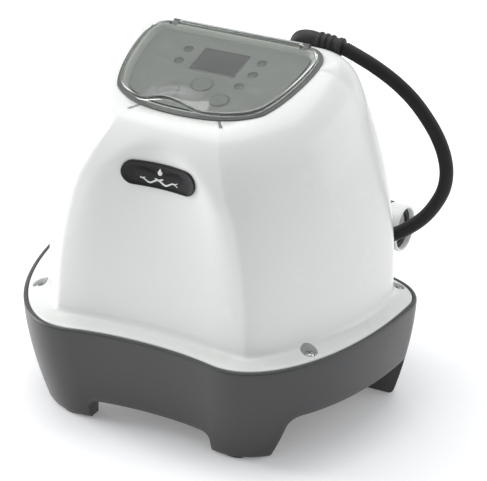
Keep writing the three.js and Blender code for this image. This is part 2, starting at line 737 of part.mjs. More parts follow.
// Flow switch: a paddle on a pin between two ears, which the stream pushes downstream
const paddle = { x: 20, z: 121 };

function flowSwitch() {
  const cap = drum(11, 9, 'z', [paddle.x, cell.y, 137], 18);
  const flange = drum(13, 3.2, 'z', [paddle.x, cell.y, 131], 18);
  const plug = drum(6.6, 6, 'z', [paddle.x, cell.y, 127.6], 16);
  const ears = [-5, 5].map((y) => block([5, 1.6, 9], [paddle.x, cell.y + y, 122.4]));
  return cut(join(cap, flange, plug, ...ears), drum(1.2, 20, 'y', [paddle.x, cell.y, paddle.z], 10));
}

function paddlePin() {
  return drum(0.9, 12, 'y', [paddle.x, cell.y, paddle.z], 10);
}

function flowPaddle() {
  const knuckle = drum(2.3, 7.4, 'y', [paddle.x, cell.y, paddle.z], 12);
  const neck = block([1.4, 6, 6], [paddle.x, cell.y, paddle.z - 4.5]);
  const blade = block([1.4, 13, 12], [paddle.x, cell.y, paddle.z - 13]);
  return cut(join(knuckle, neck, blade), drum(1.2, 20, 'y', [paddle.x, cell.y, paddle.z], 10));
}

// Assembly ----------------------------------------------------------------------------

const generator = new THREE.Group();
generator.position.y = -middleY;

function add(name, geometry, finish) {
  const [color, roughness, metalness] = finishes[finish];
  const mesh = new THREE.Mesh(geometry, new THREE.MeshStandardMaterial({ color, roughness, metalness }));
  mesh.name = name;
  generator.add(mesh);
}

add('base_housing', baseHousing(), 'grey');
for (const [name, ...place] of pads) {
  add(`foot_pad_${name}`, padShape(...place, 0, 0, padThickness), 'rubber');
}
add('base_gasket', baseGasket(), 'rubber');
add('upper_housing', upperHousing(), 'white');
for (const [name, x, y] of screwSpots()) {
  add(`case_screw_${name}`, caseScrew().translate(x, y, caseScrews.seat), 'steel');
}
add('badge', badge(), 'badgeBlack');

add('panel_bezel', panelBezel(), 'bezel');
add('keypad_overlay', keypadOverlay(), 'membrane');
add('display_window', displayWindow(), 'display');
for (const [name, x, y] of indicators) add(name, indicatorLens(x, y), 'lens');
for (const [name, x, y, radius] of keys) add(name, keyCap(x, y, radius), 'membrane');
add('panel_cover', panelCover(), 'smoke');
add('cover_hinge_pin', hingePin(), 'steel');

add('control_board', controlBoard(), 'board');
add('display_module', displayModule(), 'badgeBlack');
for (const [name, x, y] of keys) add(name.replace('key', 'switch'), tactSwitch(x, y), 'badgeBlack');
add('power_board', powerBoard(), 'board');
add('transformer_core', transformerCore(), 'ironCore');
add('transformer_winding', transformerWinding(), 'copper');
add('heat_sink', heatSink(), 'aluminium');
add('capacitor', capacitor(), 'badgeBlack');
add('relay', relay(), 'badgeBlack');
add('mains_gland', mainsGland(), 'rubber');

add('cable_socket', cableSocket(), 'rubber');
add('plug_elbow', plugElbow(), 'rubber');
add('cell_cable', cellCable(), 'cableBlack');
add('cell_gland', cellGland(), 'rubber');

add('flow_cell_body', flowCellBody(), 'rubber');
add('union_nut_right', unionNut(1), 'white');
add('union_nut_left', unionNut(-1), 'white');
add('port_seal_right', portSeal(1), 'rubber');
add('port_seal_left', portSeal(-1), 'rubber');
add('electrode_head', electrodeHead(), 'grey');
add('cell_seal', cellSeal(), 'rubber');
add('lock_ring', lockRing(), 'white');
for (const [index, offset] of [-7.5, -2.5, 2.5, 7.5].entries()) {
  add(`electrode_plate_${index + 1}`, electrodePlate(offset), 'titanium');
}
add('flow_switch', flowSwitch(), 'rubber');
add('flow_paddle', flowPaddle(), 'white');
add('paddle_pin', paddlePin(), 'steel');
for (const [name, x] of [['left', -72], ['right', 62]]) add(`cell_saddle_${name}`, cellSaddle(x), 'grey');

export default generator;
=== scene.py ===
import json
import math

import bmesh
import bpy
from mathutils import Matrix, Vector
from mathutils.bvhtree import BVHTree


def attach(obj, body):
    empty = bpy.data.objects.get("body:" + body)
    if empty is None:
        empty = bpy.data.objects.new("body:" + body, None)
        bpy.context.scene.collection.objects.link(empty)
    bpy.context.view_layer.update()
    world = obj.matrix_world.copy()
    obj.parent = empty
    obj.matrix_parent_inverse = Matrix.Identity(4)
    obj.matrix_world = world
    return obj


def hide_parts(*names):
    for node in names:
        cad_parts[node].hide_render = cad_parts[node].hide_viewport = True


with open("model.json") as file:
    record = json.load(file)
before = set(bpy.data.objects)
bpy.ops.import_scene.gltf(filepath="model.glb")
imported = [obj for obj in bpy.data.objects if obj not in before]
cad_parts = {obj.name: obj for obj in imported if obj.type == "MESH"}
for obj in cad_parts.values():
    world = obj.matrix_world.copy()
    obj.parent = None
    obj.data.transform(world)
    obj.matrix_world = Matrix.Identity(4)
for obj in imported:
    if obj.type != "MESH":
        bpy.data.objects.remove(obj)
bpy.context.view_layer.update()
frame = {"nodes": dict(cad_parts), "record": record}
nodes = frame["nodes"]

mm = 0.001
middleY = 24.75  # the part's middle, behind the middle of the base's rim


def inMetres(point):
    return Vector((point[0] * mm, (point[1] - middleY) * mm, point[2] * mm))


# Camera and three soft lights round the unit
view = {"stand": (780.9, -1419.8, 940.7), "aim": (36.62, 0, 135.93), "lens": 178.55, "sensor": 36}

softBoxes = {
    "rightBox": {"at": (1.5, 0.75, 0.7), "size": (1.1, 1.3), "watts": 6},
    "leftBox": {"at": (-1.45, -0.25, 0.6), "size": (0.8, 1.2), "watts": 20},
    "topBox": {"at": (-0.25, 0.35, 1.75), "size": (1.7, 1.3), "watts": 18},
}


def makeCamera():
    lens = bpy.data.cameras.new("studioCamera")
    lens.lens = view["lens"]
    lens.sensor_width = view["sensor"]
    lens.clip_end = 20
    camera = bpy.data.objects.new("studioCamera", lens)
    stand, aim = inMetres(view["stand"]), inMetres(view["aim"])
    turn = (aim - stand).to_track_quat("-Z", "Y")
    camera.matrix_world = Matrix.Translation(stand) @ turn.to_matrix().to_4x4()
    bpy.context.collection.objects.link(camera)
    bpy.context.scene.camera = camera


def makeLights():
    for name, box in softBoxes.items():
        lamp = bpy.data.lights.new(name, "AREA")
        lamp.shape = "RECTANGLE"
        lamp.size, lamp.size_y = box["size"]
        lamp.energy = box["watts"]
        holder = bpy.data.objects.new(name, lamp)
        turn = (Vector((0, 0, 0.12)) - Vector(box["at"])).to_track_quat("-Z", "Y")
        holder.matrix_world = Matrix.Translation(box["at"]) @ turn.to_matrix().to_4x4()
        bpy.context.collection.objects.link(holder)
    world = bpy.data.worlds.new("studio")
    world.use_nodes = True
    sky = world.node_tree.nodes["Background"]
    sky.inputs["Color"].default_value = (0.97, 0.985, 1, 1)
    sky.inputs["Strength"].default_value = 0.5
    bpy.context.scene.world = world
    bpy.context.scene.view_settings.view_transform = "Standard"


makeCamera()
makeLights()
print("camera and lights are up")


# Mesh from closed rings of points, set about the part's middle in metres
def meshPiece(name, rings, sharpAngle=32, closed=False):
    points, faces = loft(rings, closed)
    mesh = bpy.data.meshes.new(name)
    mesh.from_pydata([inMetres(p) for p in points], [], faces)
    bm = bmesh.new()
    bm.from_mesh(mesh)
    bmesh.ops.remove_doubles(bm, verts=bm.verts, dist=2e-6)
    bmesh.ops.dissolve_degenerate(bm, edges=bm.edges, dist=1e-7)
    bmesh.ops.recalc_face_normals(bm, faces=bm.faces)
    bm.to_mesh(mesh)
    bm.free()
    piece = bpy.data.objects.new(name, mesh)
    bpy.context.collection.objects.link(piece)
    smooth(piece, sharpAngle)
    return piece


def smooth(piece, sharpAngle=32):
    piece.data.polygons.foreach_set("use_smooth", [True] * len(piece.data.polygons))
    piece.data.set_sharp_from_angle(angle=math.radians(sharpAngle))


# Quads between rings; the ends are closed to a middle point, or the last ring meets the first
def loft(rings, closed=False):
    count = len(rings[0])
    points = [p for ring in rings for p in ring]
    faces = []
    levels = len(rings)
    for level in range(levels if closed else levels - 1):
        low, high = level * count, (level + 1) % levels * count
        for i in range(count):
            after = (i + 1) % count
            faces.append((low + i, low + after, high + after, high + i))
    if not closed:
        for start, flip in ((0, True), ((levels - 1) * count, False)):
            ring = points[start:start + count]
            points.append(tuple(sum(p[axis] for p in ring) / count for axis in range(3)))
            middle = len(points) - 1
            for i in range(count):
                after = (i + 1) % count
                pair = (start + after, start + i) if flip else (start + i, start + after)
                faces.append((middle, *pair))
    return points, faces


# Rounds the corners of a list of 2-D points
def softened(points, radius, steps=4, closed=False):
    result = []
    count = len(points)
    for i, corner in enumerate(points):
        if not closed and i in (0, count - 1):
            result.append(tuple(corner))
            continue
        here = Vector(corner[:2])
        before, after = Vector(points[i - 1][:2]), Vector(points[(i + 1) % count][:2])
        back, ahead = before - here, after - here
        reach = min(radius, back.length * 0.45, ahead.length * 0.45)
        start, end = here + back.normalized() * reach, here + ahead.normalized() * reach
        for step in range(steps + 1):
            t = step / steps
            p = start * (1 - t) ** 2 + here * 2 * t * (1 - t) + end * t ** 2
            result.append((p.x, p.y))
    return result


def circle(radius, sides, turn=0):
    return [(radius * math.cos(turn + math.tau * i / sides), radius * math.sin(turn + math.tau * i / sides))
            for i in range(sides)]


# Turned body from [radius, height] pairs about z, set in place by a function of a local point
def turned(name, profile, sides, setPlace, ring=False, sharpAngle=32):
    around = [(math.cos(math.tau * i / sides), math.sin(math.tau * i / sides)) for i in range(sides)]
    rings = [[setPlace((r * c, r * s, h)) for c, s in around] for r, h in profile]
    return meshPiece(name, rings, sharpAngle, closed=ring)


# Round bar about z, with plain or softened edges
def rod(name, radius, low, high, sides, setPlace, soft=0, steps=4):
    profile = [(0, low), (radius, low), (radius, high), (0, high)]
    return turned(name, softened(profile, soft, steps) if soft else profile, sides, setPlace)


def upright(x, y, z=0):
    return lambda p: (p[0] + x, p[1] + y, p[2] + z)


def prism(name, outline, low, high, setPlace=None, sharpAngle=32):
    setPlace = setPlace or upright(0, 0)
    rings = [[setPlace((x, y, z)) for x, y in outline] for z in (low, high)]
    return meshPiece(name, rings, sharpAngle)


def boxAt(name, size, middle, setPlace=None, radius=0.0):
    half = [s / 2 for s in size]
    x, y, z = middle
    corners = [(x + a * half[0], y + b * half[1]) for a, b in ((-1, -1), (1, -1), (1, 1), (-1, 1))]
    if radius:
        corners = softened(corners, radius, 3, closed=True)
    return prism(name, corners, z - half[2], z + half[2], setPlace)


def settle(piece):
    evaluated = piece.evaluated_get(bpy.context.evaluated_depsgraph_get())
    mesh = bpy.data.meshes.new_from_object(evaluated)
    piece.modifiers.clear()
    piece.data = mesh
    return piece


def carve(piece, tools, operation="DIFFERENCE"):
    for tool in tools:
        change = piece.modifiers.new("carve", "BOOLEAN")
        change.operation = operation
        change.solver = "MANIFOLD"
        change.object = tool
    settle(piece)
    for tool in tools:
        bpy.data.objects.remove(tool)
    return piece


def softEdges(piece, width, angle=34, segments=2):
    bevel = piece.modifiers.new("softEdges", "BEVEL")
    bevel.width = width * mm
    bevel.segments = segments
    bevel.limit_method = "ANGLE"
    bevel.angle_limit = math.radians(angle)
    bevel.use_clamp_overlap = True
    bevel.miter_outer = "MITER_ARC"
    settle(piece)
    smooth(piece, 40)
    return piece


def joined(piece, others):
    bm = bmesh.new()
    bm.from_mesh(piece.data)
    for other in others:
        bm.from_mesh(other.data)
        bpy.data.objects.remove(other)
    bm.to_mesh(piece.data)
    bm.free()
    smooth(piece, 40)
    return piece


def bezierAt(points, t):
    while len(points) > 1:
        points = [tuple(a + (b - a) * t for a, b in zip(p, q)) for p, q in zip(points, points[1:])]
    return points[0]


def sampled(points, divisions):
    return [bezierAt(points, i / divisions) for i in range(divisions + 1)]


def lerp(a, b, t):
    return a + (b - a) * t


def ease(value, low, high):
    t = min(1, max(0, (value - low) / (high - low)))
    return t * t * (3 - 2 * t)


# Smooth path through the points, with centripetal spacing
def smoothPath(points, steps):
    points = [Vector(p) for p in points]
    knots = [points[0] * 2 - points[1], *points, points[-1] * 2 - points[-2]]
    result = []
    for i in range(1, len(knots) - 2):
        p0, p1, p2, p3 = knots[i - 1:i + 3]
        d0, d1, d2 = ((b - a).length ** 0.5 for a, b in ((p0, p1), (p1, p2), (p2, p3)))
        for step in range(steps):
            t = step / steps
            m1 = (p2 - p1) + ((p1 - p0) / d0 - (p2 - p0) / (d0 + d1)) * d1
            m2 = (p2 - p1) + ((p3 - p2) / d2 - (p3 - p1) / (d1 + d2)) * d1
            result.append(p1 * (2 * t**3 - 3 * t**2 + 1) + m1 * (t**3 - 2 * t**2 + t)
                          + p2 * (3 * t**2 - 2 * t**3) + m2 * (t**3 - t**2))
    result.append(knots[-2])
    return result


def travelled(path):
    distances = [0.0]
    for a, b in zip(path, path[1:]):
        distances.append(distances[-1] + (b - a).length)
    return distances


# Round section carried along a path without twist; radiusAt takes the distance travelled
def sweep(name, path, radiusAt, sides, sharpAngle=40):
    distances = travelled(path)
    side = Vector((0, 1, 0))
    rings = []
    for i, p in enumerate(path):
        ahead = (path[min(i + 1, len(path) - 1)] - path[max(i - 1, 0)]).normalized()
        side = (side - ahead * side.dot(ahead)).normalized()
        other = ahead.cross(side)
        radius = radiusAt(distances[i])
        rings.append([tuple(p + side * x + other * y) for x, y in circle(radius, sides)])
    return meshPiece(name, rings, sharpAngle)


# Shader group with named inputs and outputs
def newGroup(name, inputs, outputs):
    group = bpy.data.node_groups.new(name, "ShaderNodeTree")
    for label, kind, value in inputs:
        socket = group.interface.new_socket(label, in_out="INPUT", socket_type=f"NodeSocket{kind}")
        socket.default_value = value
    for label, kind in outputs:
        group.interface.new_socket(label, in_out="OUTPUT", socket_type=f"NodeSocket{kind}")
    start, end = group.nodes.new("NodeGroupInput"), group.nodes.new("NodeGroupOutput")
    return group, start, end


def noiseNode(tree, coords, scale, detail=3.0, roughness=0.5):
    noise = tree.nodes.new("ShaderNodeTexNoise")
    noise.inputs["Detail"].default_value = detail
    noise.inputs["Roughness"].default_value = roughness
    tree.links.new(coords, noise.inputs["Vector"])
    if isinstance(scale, (int, float)):
        noise.inputs["Scale"].default_value = scale
    else:
        tree.links.new(scale, noise.inputs["Scale"])
    return noise.outputs["Fac"]


def mathNode(tree, operation, *values, clamp=False):
    node = tree.nodes.new("ShaderNodeMath")
    node.operation = operation
    node.use_clamp = clamp
    for socket, value in zip(node.inputs, values):
        if isinstance(value, (int, float)):
            socket.default_value = value
        else:
            tree.links.new(value, socket)
    return node.outputs[0]


def mixColor(tree, factor, first, second, blend="MIX"):
    node = tree.nodes.new("ShaderNodeMix")
    node.data_type = "RGBA"
    node.blend_type = blend
    for index, value in ((0, factor), (6, first), (7, second)):
        socket = node.inputs[index]
        if isinstance(value, (int, float, tuple)):
            socket.default_value = value if index == 0 else (*value, 1)
        else:
            tree.links.new(value, socket)
    return node.outputs[2]


def objectCoords(tree):
    return tree.nodes.new("ShaderNodeTexCoord").outputs["Object"]


# Moulded surface: fine grain in the bump, slower ripples, and gloss that wanders a little
def makeMouldGrain():
    group, start, end = newGroup("mouldGrain", [
        ("Grain Scale", "Float", 2600.0), ("Grain Depth", "Float", 0.1), ("Ripple Depth", "Float", 0.05),
        ("Gloss", "Float", 0.4), ("Gloss Spread", "Float", 0.08),
    ], [("Roughness", "Float"), ("Normal", "Vector")])
    coords = objectCoords(group)
    grain = noiseNode(group, coords, start.outputs["Grain Scale"], 2.0)
    ripple = noiseNode(group, coords, 38.0, 2.0)
    patches = noiseNode(group, coords, 21.0, 4.0, 0.6)
    first = group.nodes.new("ShaderNodeBump")
    first.inputs["Distance"].default_value = 0.0006
    group.links.new(ripple, first.inputs["Height"])
    group.links.new(start.outputs["Ripple Depth"], first.inputs["Strength"])
    second = group.nodes.new("ShaderNodeBump")
    second.inputs["Distance"].default_value = 0.00012
    group.links.new(grain, second.inputs["Height"])
    group.links.new(start.outputs["Grain Depth"], second.inputs["Strength"])
    group.links.new(first.outputs["Normal"], second.inputs["Normal"])
    centred = mathNode(group, "SUBTRACT", patches, 0.5)
    spread = mathNode(group, "MULTIPLY", centred, start.outputs["Gloss Spread"])
    spread = mathNode(group, "MULTIPLY", spread, 2.0)
    grainGloss = mathNode(group, "MULTIPLY", mathNode(group, "SUBTRACT", grain, 0.5), start.outputs["Gloss Spread"])
    gloss = mathNode(group, "ADD", start.outputs["Gloss"], spread)
    group.links.new(mathNode(group, "ADD", gloss, grainGloss, clamp=True), end.inputs["Roughness"])
    group.links.new(second.outputs["Normal"], end.inputs["Normal"])
    return group


# Slow drift between two close tones
def makeToneDrift():
    group, start, end = newGroup("toneDrift", [
        ("Tone", "Color", (0.5, 0.5, 0.5, 1)), ("Second Tone", "Color", (0.4, 0.4, 0.4, 1)),
        ("Scale", "Float", 14.0), ("Speckle", "Float", 0.2),
    ], [("Color", "Color")])
    coords = objectCoords(group)
    slow = noiseNode(group, coords, start.outputs["Scale"], 3.0)
    fine = noiseNode(group, coords, 900.0, 2.0)
    amount = mathNode(group, "ADD", mathNode(group, "MULTIPLY", mathNode(group, "SUBTRACT", fine, 0.5),
                                             start.outputs["Speckle"]), slow, clamp=True)
    group.links.new(mixColor(group, amount, start.outputs["Tone"], start.outputs["Second Tone"]), end.inputs["Color"])
    return group


# Rubbed edges and the dust that settles on faces that look up
def makeWearMasks():
    group, start, end = newGroup("wearMasks", [
        ("Edge Amount", "Float", 0.5), ("Dust Amount", "Float", 0.3),
    ], [("Edges", "Float"), ("Dust", "Float")])
    coords = objectCoords(group)
    geometry = group.nodes.new("ShaderNodeNewGeometry")
    bent = mathNode(group, "SUBTRACT", geometry.outputs["Pointiness"], 0.52)
    sharp = mathNode(group, "MULTIPLY", bent, 9.0, clamp=True)
    broken = noiseNode(group, coords, 160.0, 4.0, 0.6)
    rubbed = mathNode(group, "MULTIPLY", sharp, broken)
    edges = mathNode(group, "MULTIPLY", rubbed, start.outputs["Edge Amount"], clamp=True)
    split = group.nodes.new("ShaderNodeSeparateXYZ")
    group.links.new(geometry.outputs["Normal"], split.inputs[0])
    facing = mathNode(group, "POWER", mathNode(group, "MAXIMUM", split.outputs["Z"], 0.0), 3.0)
    cloud = noiseNode(group, coords, 70.0, 5.0, 0.65)
    settled = mathNode(group, "MULTIPLY", mathNode(group, "SUBTRACT", cloud, 0.42), 3.0, clamp=True)
    dust = mathNode(group, "MULTIPLY", mathNode(group, "MULTIPLY", facing, settled), start.outputs["Dust Amount"])
    group.links.new(edges, end.inputs["Edges"])
    group.links.new(dust, end.inputs["Dust"])
    return group


mouldGrain, toneDrift, wearMasks = makeMouldGrain(), makeToneDrift(), makeWearMasks()


def placeGroup(tree, group, values):
    node = tree.nodes.new("ShaderNodeGroup")
    node.node_tree = group
    for label, value in values.items():
        node.inputs[label].default_value = (*value, 1) if isinstance(value, tuple) else value
    return node


# Moulded plastics and rubbers
finishes = {
    "white_housing": {"tone": (0.752, 0.763, 0.745), "second": (0.735, 0.746, 0.73), "gloss": 0.26, "spread": 0.05,
                      "grain": 0.03, "ripple": 0.05, "dust": 0.05, "edge": 0.0, "coat": 0.25},
    "grey_base": {"tone": (0.046, 0.046, 0.047), "second": (0.041, 0.041, 0.042), "gloss": 0.34, "spread": 0.08,
                  "grain": 0.35, "ripple": 0.03, "dust": 0.06, "edge": 0.25, "coat": 0.0},
    "port_white": {"tone": (0.78, 0.79, 0.77), "second": (0.74, 0.75, 0.73), "gloss": 0.3, "spread": 0.06,
                   "grain": 0.06, "ripple": 0.04, "dust": 0.05, "edge": 0.0, "coat": 0.15},
    "cell_grey": {"tone": (0.1, 0.102, 0.106), "second": (0.085, 0.087, 0.09), "gloss": 0.42, "spread": 0.1,
                  "grain": 0.25, "ripple": 0.03, "dust": 0.15, "edge": 0.3, "coat": 0.0},
    "cell_black": {"tone": (0.03, 0.03, 0.032), "second": (0.024, 0.024, 0.026), "gloss": 0.38, "spread": 0.1,
                   "grain": 0.2, "ripple": 0.04, "dust": 0.18, "edge": 0.35, "coat": 0.0},
    "cable_rubber": {"tone": (0.011, 0.011, 0.012), "second": (0.015, 0.015, 0.016), "gloss": 0.5, "spread": 0.12,
                     "grain": 0.3, "ripple": 0.05, "dust": 0.03, "edge": 0.05, "coat": 0.0, "shine": 0.22},
    "plug_rubber": {"tone": (0.022, 0.022, 0.023), "second": (0.018, 0.018, 0.019), "gloss": 0.55, "spread": 0.1,
                    "grain": 0.35, "ripple": 0.03, "dust": 0.05, "edge": 0.1, "coat": 0.0, "shine": 0.35},
    "seal_rubber": {"tone": (0.02, 0.02, 0.02), "second": (0.03, 0.03, 0.031), "gloss": 0.7, "spread": 0.1,
                    "grain": 0.4, "ripple": 0.02, "dust": 0.1, "edge": 0.1, "coat": 0.0},
    # bezel_lip_painted_shade is painted shade: a near-black tone on the bezel's outer lip for the shadow under the
    # cover's skirt
    "bezel_lip_painted_shade": {"tone": (0.085, 0.092, 0.087), "second": (0.075, 0.081, 0.077), "gloss": 0.4, "spread": 0.06,
                  "grain": 0.15, "ripple": 0.02, "dust": 0.03, "edge": 0.0, "coat": 0.0},
    "badge_black": {"tone": (0.006, 0.006, 0.007), "second": (0.008, 0.008, 0.009), "gloss": 0.3, "spread": 0.05,
                    "grain": 0.02, "ripple": 0.02, "dust": 0.01, "edge": 0.02, "coat": 0.0, "shine": 0.3},
    "badge_mark": {"tone": (0.72, 0.73, 0.73), "second": (0.66, 0.67, 0.67), "gloss": 0.24, "spread": 0.05,
                   "grain": 0.02, "ripple": 0.02, "dust": 0.0, "edge": 0.0, "coat": 0.3},
    "bezel_grey": {"tone": (0.36, 0.375, 0.355), "second": (0.34, 0.355, 0.335), "gloss": 0.36, "spread": 0.06,
                   "grain": 0.1, "ripple": 0.02, "dust": 0.06, "edge": 0.0, "coat": 0.0},
    "keypad_film": {"tone": (0.138, 0.146, 0.139), "second": (0.13, 0.138, 0.131), "gloss": 0.5, "spread": 0.06,
                    "grain": 0.1, "ripple": 0.01, "dust": 0.02, "edge": 0.0, "coat": 0.0},
    "keypad_print": {"tone": (0.065, 0.075, 0.071), "second": (0.072, 0.082, 0.078), "gloss": 0.5, "spread": 0.04,
                     "grain": 0.1, "ripple": 0.0, "dust": 0.0, "edge": 0.0, "coat": 0.0},
    "indicator_lens": {"tone": (0.06, 0.068, 0.062), "second": (0.055, 0.063, 0.058), "gloss": 0.22, "spread": 0.04,
                       "grain": 0.03, "ripple": 0.0, "dust": 0.0, "edge": 0.0, "coat": 0.4},
    "display_window": {"tone": (0.054, 0.051, 0.055), "second": (0.049, 0.046, 0.05), "gloss": 0.16, "spread": 0.04,
                       "grain": 0.0, "ripple": 0.01, "dust": 0.0, "edge": 0.0, "coat": 0.5},
    "circuit_board": {"tone": (0.012, 0.11, 0.045), "second": (0.02, 0.15, 0.06), "gloss": 0.35, "spread": 0.1,
                      "grain": 0.2, "ripple": 0.0, "dust": 0.05, "edge": 0.1, "coat": 0.2},
    "component_black": {"tone": (0.02, 0.02, 0.022), "second": (0.03, 0.03, 0.03), "gloss": 0.45, "spread": 0.1,
                        "grain": 0.2, "ripple": 0.0, "dust": 0.05, "edge": 0.1, "coat": 0.0},
}

metals = {
    "screw_steel": {"tone": (0.62, 0.62, 0.63), "second": (0.5, 0.5, 0.52), "gloss": 0.22, "brush": 700},
    "core_iron": {"tone": (0.2, 0.2, 0.21), "second": (0.14, 0.14, 0.15), "gloss": 0.55, "brush": 1500},
    "winding_copper": {"tone": (0.62, 0.26, 0.1), "second": (0.5, 0.19, 0.07), "gloss": 0.35, "brush": 2200},
    "heat_sink_aluminium": {"tone": (0.6, 0.61, 0.62), "second": (0.5, 0.51, 0.53), "gloss": 0.4, "brush": 900},
    "electrode_titanium": {"tone": (0.2, 0.2, 0.195), "second": (0.12, 0.12, 0.12), "gloss": 0.45, "brush": 1200},
}

smokes = {
    "smoke_cover": {"tone": (0.82, 0.835, 0.815), "second": (0.79, 0.805, 0.785), "shade": (0.87, 0.88, 0.87)},
    "smoke_edge_painted_shade": {"tone": (0.36, 0.38, 0.365), "second": (0.33, 0.35, 0.335), "shade": (0.7, 0.71, 0.7)},  # painted shade: darker tone on the cover's side walls for the dark look of the thick edge seen edge-on
}

dustTone = (0.46, 0.45, 0.43)


def startMaterial(name):
    material = bpy.data.materials.new(name)
    material.use_nodes = True
    tree = material.node_tree
    return material, tree, tree.nodes["Principled BSDF"]


def mouldedFinish(name, values):
    material, tree, shader = startMaterial(name)
    tone = placeGroup(tree, toneDrift, {"Tone": values["tone"], "Second Tone": values["second"], "Speckle": 0.25})
    surface = placeGroup(tree, mouldGrain, {
        "Grain Depth": values["grain"], "Ripple Depth": values["ripple"],
        "Gloss": values["gloss"], "Gloss Spread": values["spread"],
    })
    wear = placeGroup(tree, wearMasks, {"Edge Amount": values["edge"], "Dust Amount": values["dust"]})
    rubbed = tuple(min(1, c * 1.7 + 0.03) for c in values["tone"])
    worn = mixColor(tree, wear.outputs["Edges"], tone.outputs["Color"], rubbed)
    tree.links.new(mixColor(tree, wear.outputs["Dust"], worn, dustTone), shader.inputs["Base Color"])
    rough = mathNode(tree, "ADD", surface.outputs["Roughness"],
                     mathNode(tree, "MULTIPLY", wear.outputs["Dust"], 0.5), clamp=True)
    tree.links.new(rough, shader.inputs["Roughness"])
    tree.links.new(surface.outputs["Normal"], shader.inputs["Normal"])
    shader.inputs["Coat Weight"].default_value = values["coat"]
    shader.inputs["Coat Roughness"].default_value = 0.12
    shader.inputs["Specular IOR Level"].default_value = values.get("shine", 0.5)
    return material


# Metal with fine streaks drawn along x
def metalFinish(name, values):
    material, tree, shader = startMaterial(name)
    stretch = tree.nodes.new("ShaderNodeMapping")
    stretch.inputs["Scale"].default_value = (0.06, 1, 1)
    tree.links.new(objectCoords(tree), stretch.inputs["Vector"])
    streaks = noiseNode(tree, stretch.outputs["Vector"], values["brush"], 3.0)
    tree.links.new(mixColor(tree, streaks, values["tone"], values["second"]), shader.inputs["Base Color"])
    rough = mathNode(tree, "ADD", mathNode(tree, "MULTIPLY", streaks, 0.2), values["gloss"] - 0.1, clamp=True)
    tree.links.new(rough, shader.inputs["Roughness"])
    bump = tree.nodes.new("ShaderNodeBump")
    bump.inputs["Strength"].default_value = 0.08
    bump.inputs["Distance"].default_value = 0.0001
    tree.links.new(streaks, bump.inputs["Height"])
    tree.links.new(bump.outputs["Normal"], shader.inputs["Normal"])
    shader.inputs["Metallic"].default_value = 1.0
    return material


# Smoked clear plastic: lamps shine through it
def smokeFinish(name, tone, second, shade):
    material, tree, shader = startMaterial(name)
    surface = placeGroup(tree, mouldGrain, {
        "Grain Depth": 0.0, "Ripple Depth": 0.02, "Gloss": 0.09, "Gloss Spread": 0.03,
    })
    drift = placeGroup(tree, toneDrift, {"Tone": tone, "Second Tone": second, "Speckle": 0.1})
    tree.links.new(drift.outputs["Color"], shader.inputs["Base Color"])
    tree.links.new(surface.outputs["Roughness"], shader.inputs["Roughness"])
    tree.links.new(surface.outputs["Normal"], shader.inputs["Normal"])
    shader.inputs["Transmission Weight"].default_value = 1.0
    shader.inputs["IOR"].default_value = 1.46
    clear = tree.nodes.new("ShaderNodeBsdfTransparent")
    clear.inputs["Color"].default_value = (*shade, 1)
    rays = tree.nodes.new("ShaderNodeLightPath")
    blend = tree.nodes.new("ShaderNodeMixShader")
    tree.links.new(rays.outputs["Is Shadow Ray"], blend.inputs["Fac"])
    tree.links.new(shader.outputs["BSDF"], blend.inputs[1])
    tree.links.new(clear.outputs["BSDF"], blend.inputs[2])
    tree.links.new(blend.outputs[0], tree.nodes["Material Output"].inputs["Surface"])
    return material


paints = {name: mouldedFinish(name, values) for name, values in finishes.items()}
paints.update({name: metalFinish(name, values) for name, values in metals.items()})
paints.update({name: smokeFinish(name, **values) for name, values in smokes.items()})


def dress(piece, paint, body, slot, *replaced):
    piece.data.materials.clear()
    piece.data.materials.append(paints[paint])
    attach(piece, body)
    if replaced:
        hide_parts(*replaced)
    return piece


# Gives the faces that a test picks out a second finish
def secondPaint(piece, paint, picks):
    piece.data.materials.append(paints[paint])
    for face in piece.data.polygons:
        if picks(face.center / mm + Vector((0, middleY, 0)), face.normal):
            face.material_index = 1


print("finishes are mixed")


# Cell cable, from the plug behind the panel round to the electrode head
cable = {
    "diameter": 10.6, "sides": 28, "steps": 10,
    "route": [
        (76.4, 86, 265.6), (86.5, 86, 262), (101, 86.8, 255.5), (117, 87.7, 246.2), (131, 88.5, 235),
        (142.5, 89.5, 221.5), (151, 90.5, 208), (156.5, 91.5, 194), (158.8, 92, 180), (157, 92.5, 166),
        (150.5, 93, 151.5), (141.5, 93, 138.6), (130, 93, 127.6), (117.5, 93, 118.8), (105, 93, 113.6),
        (91, 93, 113), (76, 93.5, 117.2), (62, 94.6, 125), (49, 96.4, 134.5), (36.5, 99, 143.5),
        (24.5, 102.3, 150), (12.7, 106.3, 153.5),
    ],
}

elbow = {"x": 37.5, "y": 86, "foot": 256.6, "radius": 6.6, "ribAt": (27.5, 32.2, 36.9), "ribWidth": 2.3,
         "ribHeight": 1.1, "collarAt": 44.2, "collarHeight": 1.1}

head = {"x": -25, "y": 120, "outletZ": 162, "sag": 12, "swing": -20}


def makeCable():
    path = smoothPath(cable["route"], cable["steps"])
    jacket = sweep("cellCable", path, lambda s: cable["diameter"] / 2, cable["sides"])
    return jacket, path


